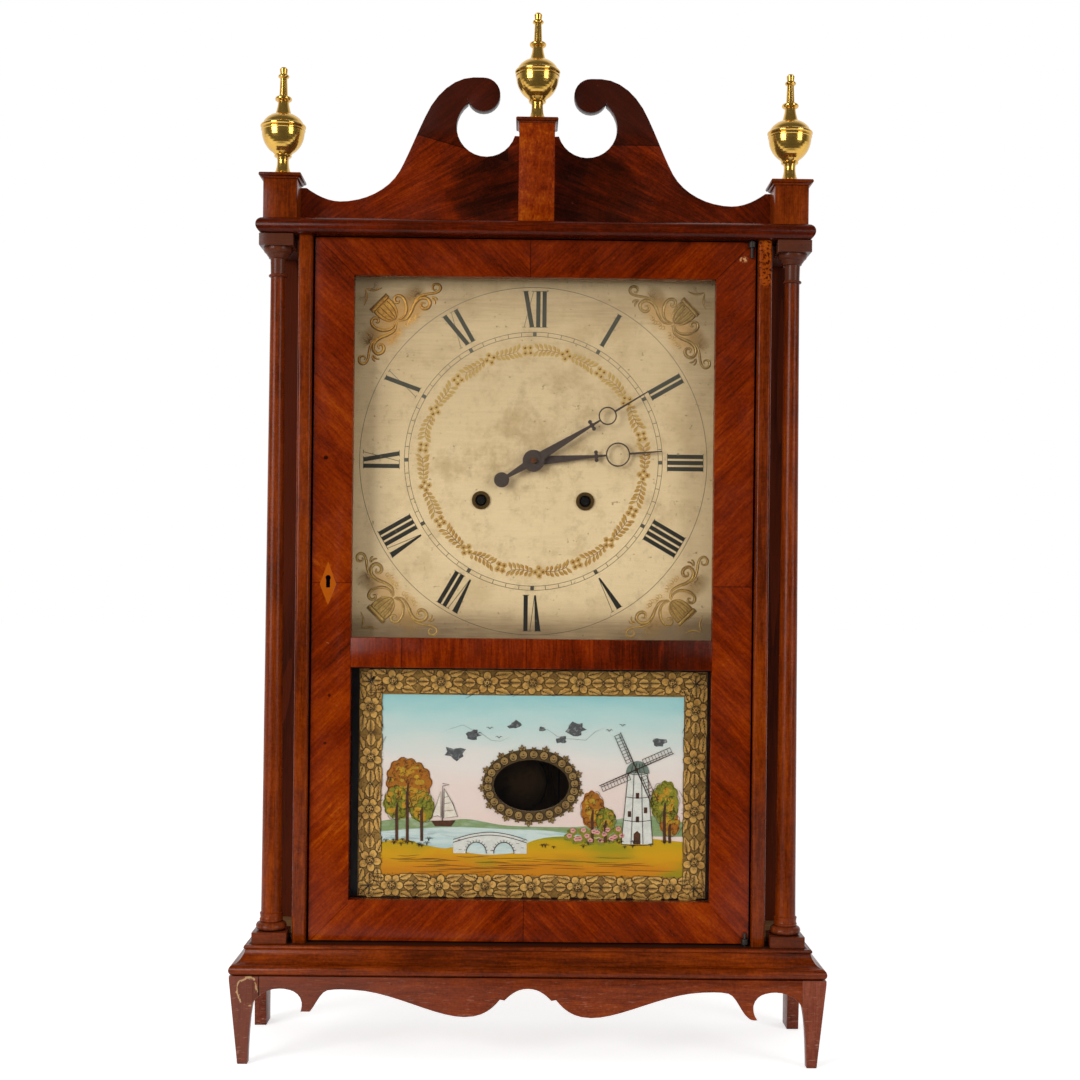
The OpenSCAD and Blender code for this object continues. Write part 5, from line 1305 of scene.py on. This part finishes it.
def add_land(sky, meadow, water, hills):
    """Sky around the clear oval, and the hills, the river and its bank."""
    a0, b0, a1, b1 = PICTURE
    x, z, rx, rz = EYE
    n = 96
    rim = []
    for i in range(n):
        c, s = math.cos(TAU * i / n), math.sin(TAU * i / n)
        reach = min(((a1 - x) if c > 0 else (x - a0)) / max(abs(c), 1e-9),
                    ((b1 - z) if s > 0 else (z - b0)) / max(abs(s), 1e-9))
        rim.append((x + c * reach, z + s * reach))
    for cx, cz in ((a0, b0), (a1, b0), (a1, b1), (a0, b1)):
        near = min(range(n), key=lambda i: math.hypot(rim[i][0] - cx, rim[i][1] - cz))
        rim[near] = (cx, cz)
    sky.frame(oval(x, z, rx, rz, n), rim)
    ridge = curve([(a0, 176), (-90, 179), (-70, 176), (-48, 178), (-20, 173.6), (10, 172.6),
                   (40, 173.2), (62, 178), (88, 182), (104, 180), (a1, 177)])
    hills.plate([(a0, 166), (a1, 166)] + ridge[::-1])
    shore = curve([(a0, 168), (-84, 170.6), (-52, 171.8), (-20, 170.6), (12, 169.8), (40, 166)], 5)
    water.plate([(a0, 146), (40, 146)] + shore[::-1])
    bank = curve([(a0, 160), (-96, 162.4), (-84, 159), (-66, 155.6), (-58, 156.4), (-50, 153),
                  (-30, 151), (-8, 153.4), (-2, 160), (14, 164.6), (36, 165.4), (60, 163.6),
                  (86, 164.6), (a1, 162)])
    meadow.plate([(a0, b0), (a1, b0)] + bank[::-1])


def add_picture():
    """A river meadow with a mill, a stone bridge, a boat and two groups of trees."""
    a0, b0, a1 = PICTURE[:3]
    marks = {key: layer(number) for key, number, *_ in PICTURE_PAINTS}
    marks["sky"], marks["meadow"] = layer(12), layer(9)
    ink, dark, loss, green = marks["lines"], marks["darks"], marks["losses"], marks["green_trees"]
    add_land(marks["sky"], marks["meadow"], marks["water"], marks["hills"])
    add_mill(marks["walls"], dark, marks["mill_cap"], ink)
    add_bridge(marks["walls"], ink)
    add_boat(marks["sails"], dark, ink)
    for x, z, rx, rz, crowns in (
            (-93, 205, 16, 18, "rust_trees"), (-101, 190, 9.5, 12, "green_trees"),
            (-82, 187, 9, 11, "green_trees"), (48, 186, 8.4, 13, "rust_trees"),
            (58, 178, 7, 9, "green_trees"), (103, 192, 10, 15, "green_trees"),
            (107, 176, 7, 9, "rust_trees")):
        dark.stroke([(x, 161), (x - 0.4, z - rz * 0.5), (x + 0.3, z)], 2.2, ends=(1, 0.5))
        foliage(marks[crowns], ink, marks["leaf_lights"], x, z, rx, rz,
                int(rx * rz * 0.22), 9 + int(rx / 3))
    for k in range(16):
        t = k / 15
        x, z = 30 + 40 * t, 166 + 4.2 * math.sin(k * 1.9) + 1.5 * t
        green.plate(lobed(x, z - 1, 3.6, 2.8, 6))
        marks["flowers"].plate(lobed(x + 0.4, z, 1.7, 1.5, 5, 0.3, 20))
        ink.stroke([(x - 0.5, z), (x + 1.3, z + 0.2)], 0.4)
    for k in range(30):
        tuft(ink, rng.choice((rng.uniform(a0 + 3, -76), rng.uniform(6, a1 - 3))),
             rng.uniform(156, 161.5), rng.uniform(2.2, 4.4))
    for k in range(34):
        x, z, long = rng.uniform(a0 + 4, a1 - 46), rng.uniform(b0 + 2.5, 150), rng.uniform(16, 42)
        ink.stroke(curve([(x, z), (x + long * 0.4, z + rng.uniform(-0.6, 0.8)),
                          (x + long, z + rng.uniform(-1.2, 1.2))], 4), 0.26, ends=(0.3, 0.2))
    for k in range(14):
        x, z, long = rng.uniform(a0 + 3, -60), rng.uniform(163, 169), rng.uniform(3, 8)
        ink.stroke([(x, z), (x + long, z)], 0.26, ends=(0.3, 0.3))
    for x, z in ((-40, 243), (-31, 247), (-24, 240), (70, 250), (60, 246)):
        wings = ((-2.6, 0.9), (-1.2, 1.3), (0, 0), (1.2, 1.3), (2.6, 0.9))
        ink.stroke(curve([(x + a, z + b) for a, b in wings], 3), 0.36, ends=(0.4, 0.4))
    for x, z, size in ((-57, 228, 8.4), (-44, 242, 6.4), (35, 247, 8.0), (24, 239, 4.6),
                       (-12, 250, 5.6), (9, 247, 3.0), (98, 238, 5.4)):
        edge = [rng.uniform(0.5, 1.2) for i in range(13)]
        loss.plate([around(x, z, size * k, TAU * i / 13, size * k * 0.75)
                    for i, k in enumerate(edge)])
    crack = [(-66 + 7.2 * i, 243 + 5 * math.sin(i * 0.8) + rng.uniform(-2.4, 2.4))
             for i in range(18)]
    loss.stroke(crack[:8], 0.22, ends=(0.2, 0.2))
    loss.stroke(crack[10:], 0.22, ends=(0.2, 0.2))
    marks["sky"].make("picture_sky", banded_paint("sky_paint", 0.3, 14, 22, 170, 102, SKY))
    marks["meadow"].make("picture_meadow",
                         banded_paint("meadow_paint", 0.16, 7, 24, 134, 40, LAWN, (138, 140, 14)))
    for key, _, name, size, run, tones in PICTURE_PAINTS:
        marks[key].make("picture_" + key, flat_paint(name, *tones, size=size, run=run))


# ---- Stage ----

ROOM_LIGHT, DIM_ROOM, FLOOR_GLOW, FLOOR_REACH = 0.45, 0.05, 0.62, 14000


def stage_paint():
    """White paper under and behind the clock, and a dim studio floor well in front of it."""
    p = Paint("floor_paint", Specular_IOR_Level=0.1, Roughness=0.9, Emission_Color=(1, 1, 1, 1))
    paper = p.xyz()[1].span(-620, -300)
    white = p.mix(p.noise(0.05, 2), (0.90, 0.90, 0.90, 1), (0.86, 0.86, 0.86, 1))
    rays = p.tree.nodes.new("ShaderNodeLightPath").outputs
    seen = p.calc("MAXIMUM", rays["Is Camera Ray"], rays["Is Transmission Ray"])
    shown = seen * paper.span(0, 1, 0.95, FLOOR_GLOW)
    mirrored = p.calc("MULTIPLY", rays["Is Glossy Ray"], paper.span(0, 1, 0.0, FLOOR_GLOW))
    p.put(Base_Color=p.mix(paper, (0.03, 0.03, 0.03, 1), white),
          Emission_Strength=shown.maximum(mirrored))
    return p.mat


def add_floor():
    rings, spokes = 10, 48
    verts, faces = [(0.0, 0.0, 0.0)], []
    for i in range(1, rings + 1):
        r = FLOOR_REACH * (i / rings) ** 2
        verts += [(*around(0, 0, r, TAU * j / spokes), 0.0) for j in range(spokes)]
    for j in range(spokes):
        faces.append((0, 1 + j, 1 + (j + 1) % spokes))
        for i in range(rings - 1):
            a, b = 1 + i * spokes + j, 1 + i * spokes + (j + 1) % spokes
            faces.append((a, a + spokes, b + spokes, b))
    piece("floor", verts, faces, stage_paint())


def add_light(name, place, aim, size, power):
    """A soft box lamp; its power is in watts and its lengths in metres."""
    data = bpy.data.lights.new(name, "AREA")
    data.shape = "RECTANGLE"
    data.size, data.size_y = size
    data.energy = power
    lamp = link(name, data)
    lamp.location = place
    lamp.rotation_euler = (Vector(aim) - Vector(place)).to_track_quat("-Z", "Y").to_euler()


def add_world():
    """A white room behind and beside the clock, and a dim one behind the camera."""
    world = bpy.data.worlds.new("studio")
    bpy.context.scene.world = world
    world.use_nodes = True
    nodes = Nodes(world.node_tree)
    back = nodes.tree.nodes["Background"]
    rays = nodes.tree.nodes.new("ShaderNodeLightPath").outputs
    depth = nodes.add("SeparateXYZ", (nodes.add("TexCoord", out="Generated"),), out=1)
    room = nodes.add("MapRange", (depth, -0.05, 0.55, DIM_ROOM, 1.0))
    strength = nodes.add("MapRange", (rays["Is Glossy Ray"], 0, 1, ROOM_LIGHT, room))
    for name in ("Is Transmission Ray", "Is Camera Ray"):
        strength = nodes.add("MapRange", (rays[name], 0, 1, strength, 1.0))
    nodes.wire(back.inputs[0], (1, 1, 1, 1))
    nodes.wire(back.inputs[1], strength)


# ---- The scene ----

add_camera()
add_cords()
add_dial()
add_border()
add_eye_wreath()
add_picture()
finish_nodes()
soften(0.5, "door_stile_left door_stile_right door_top_rail door_bottom_rail door_mid_rail"
       " case_side_left case_side_right side_plinths cornice base_moulding front_apron"
       " column_blocks plinth_caps front_feet side_aprons center_plinth scroll_board")
add_floor()
add_light("key", (-2.1, -2.3, 1.0), (0, 0, 0.42), (1.4, 1.7), 60)
add_light("fill", (2.2, -2.0, 0.9), (0, 0, 0.4), (1.1, 1.6), 26)
add_world()
bpy.context.scene.view_settings.view_transform = "Standard"
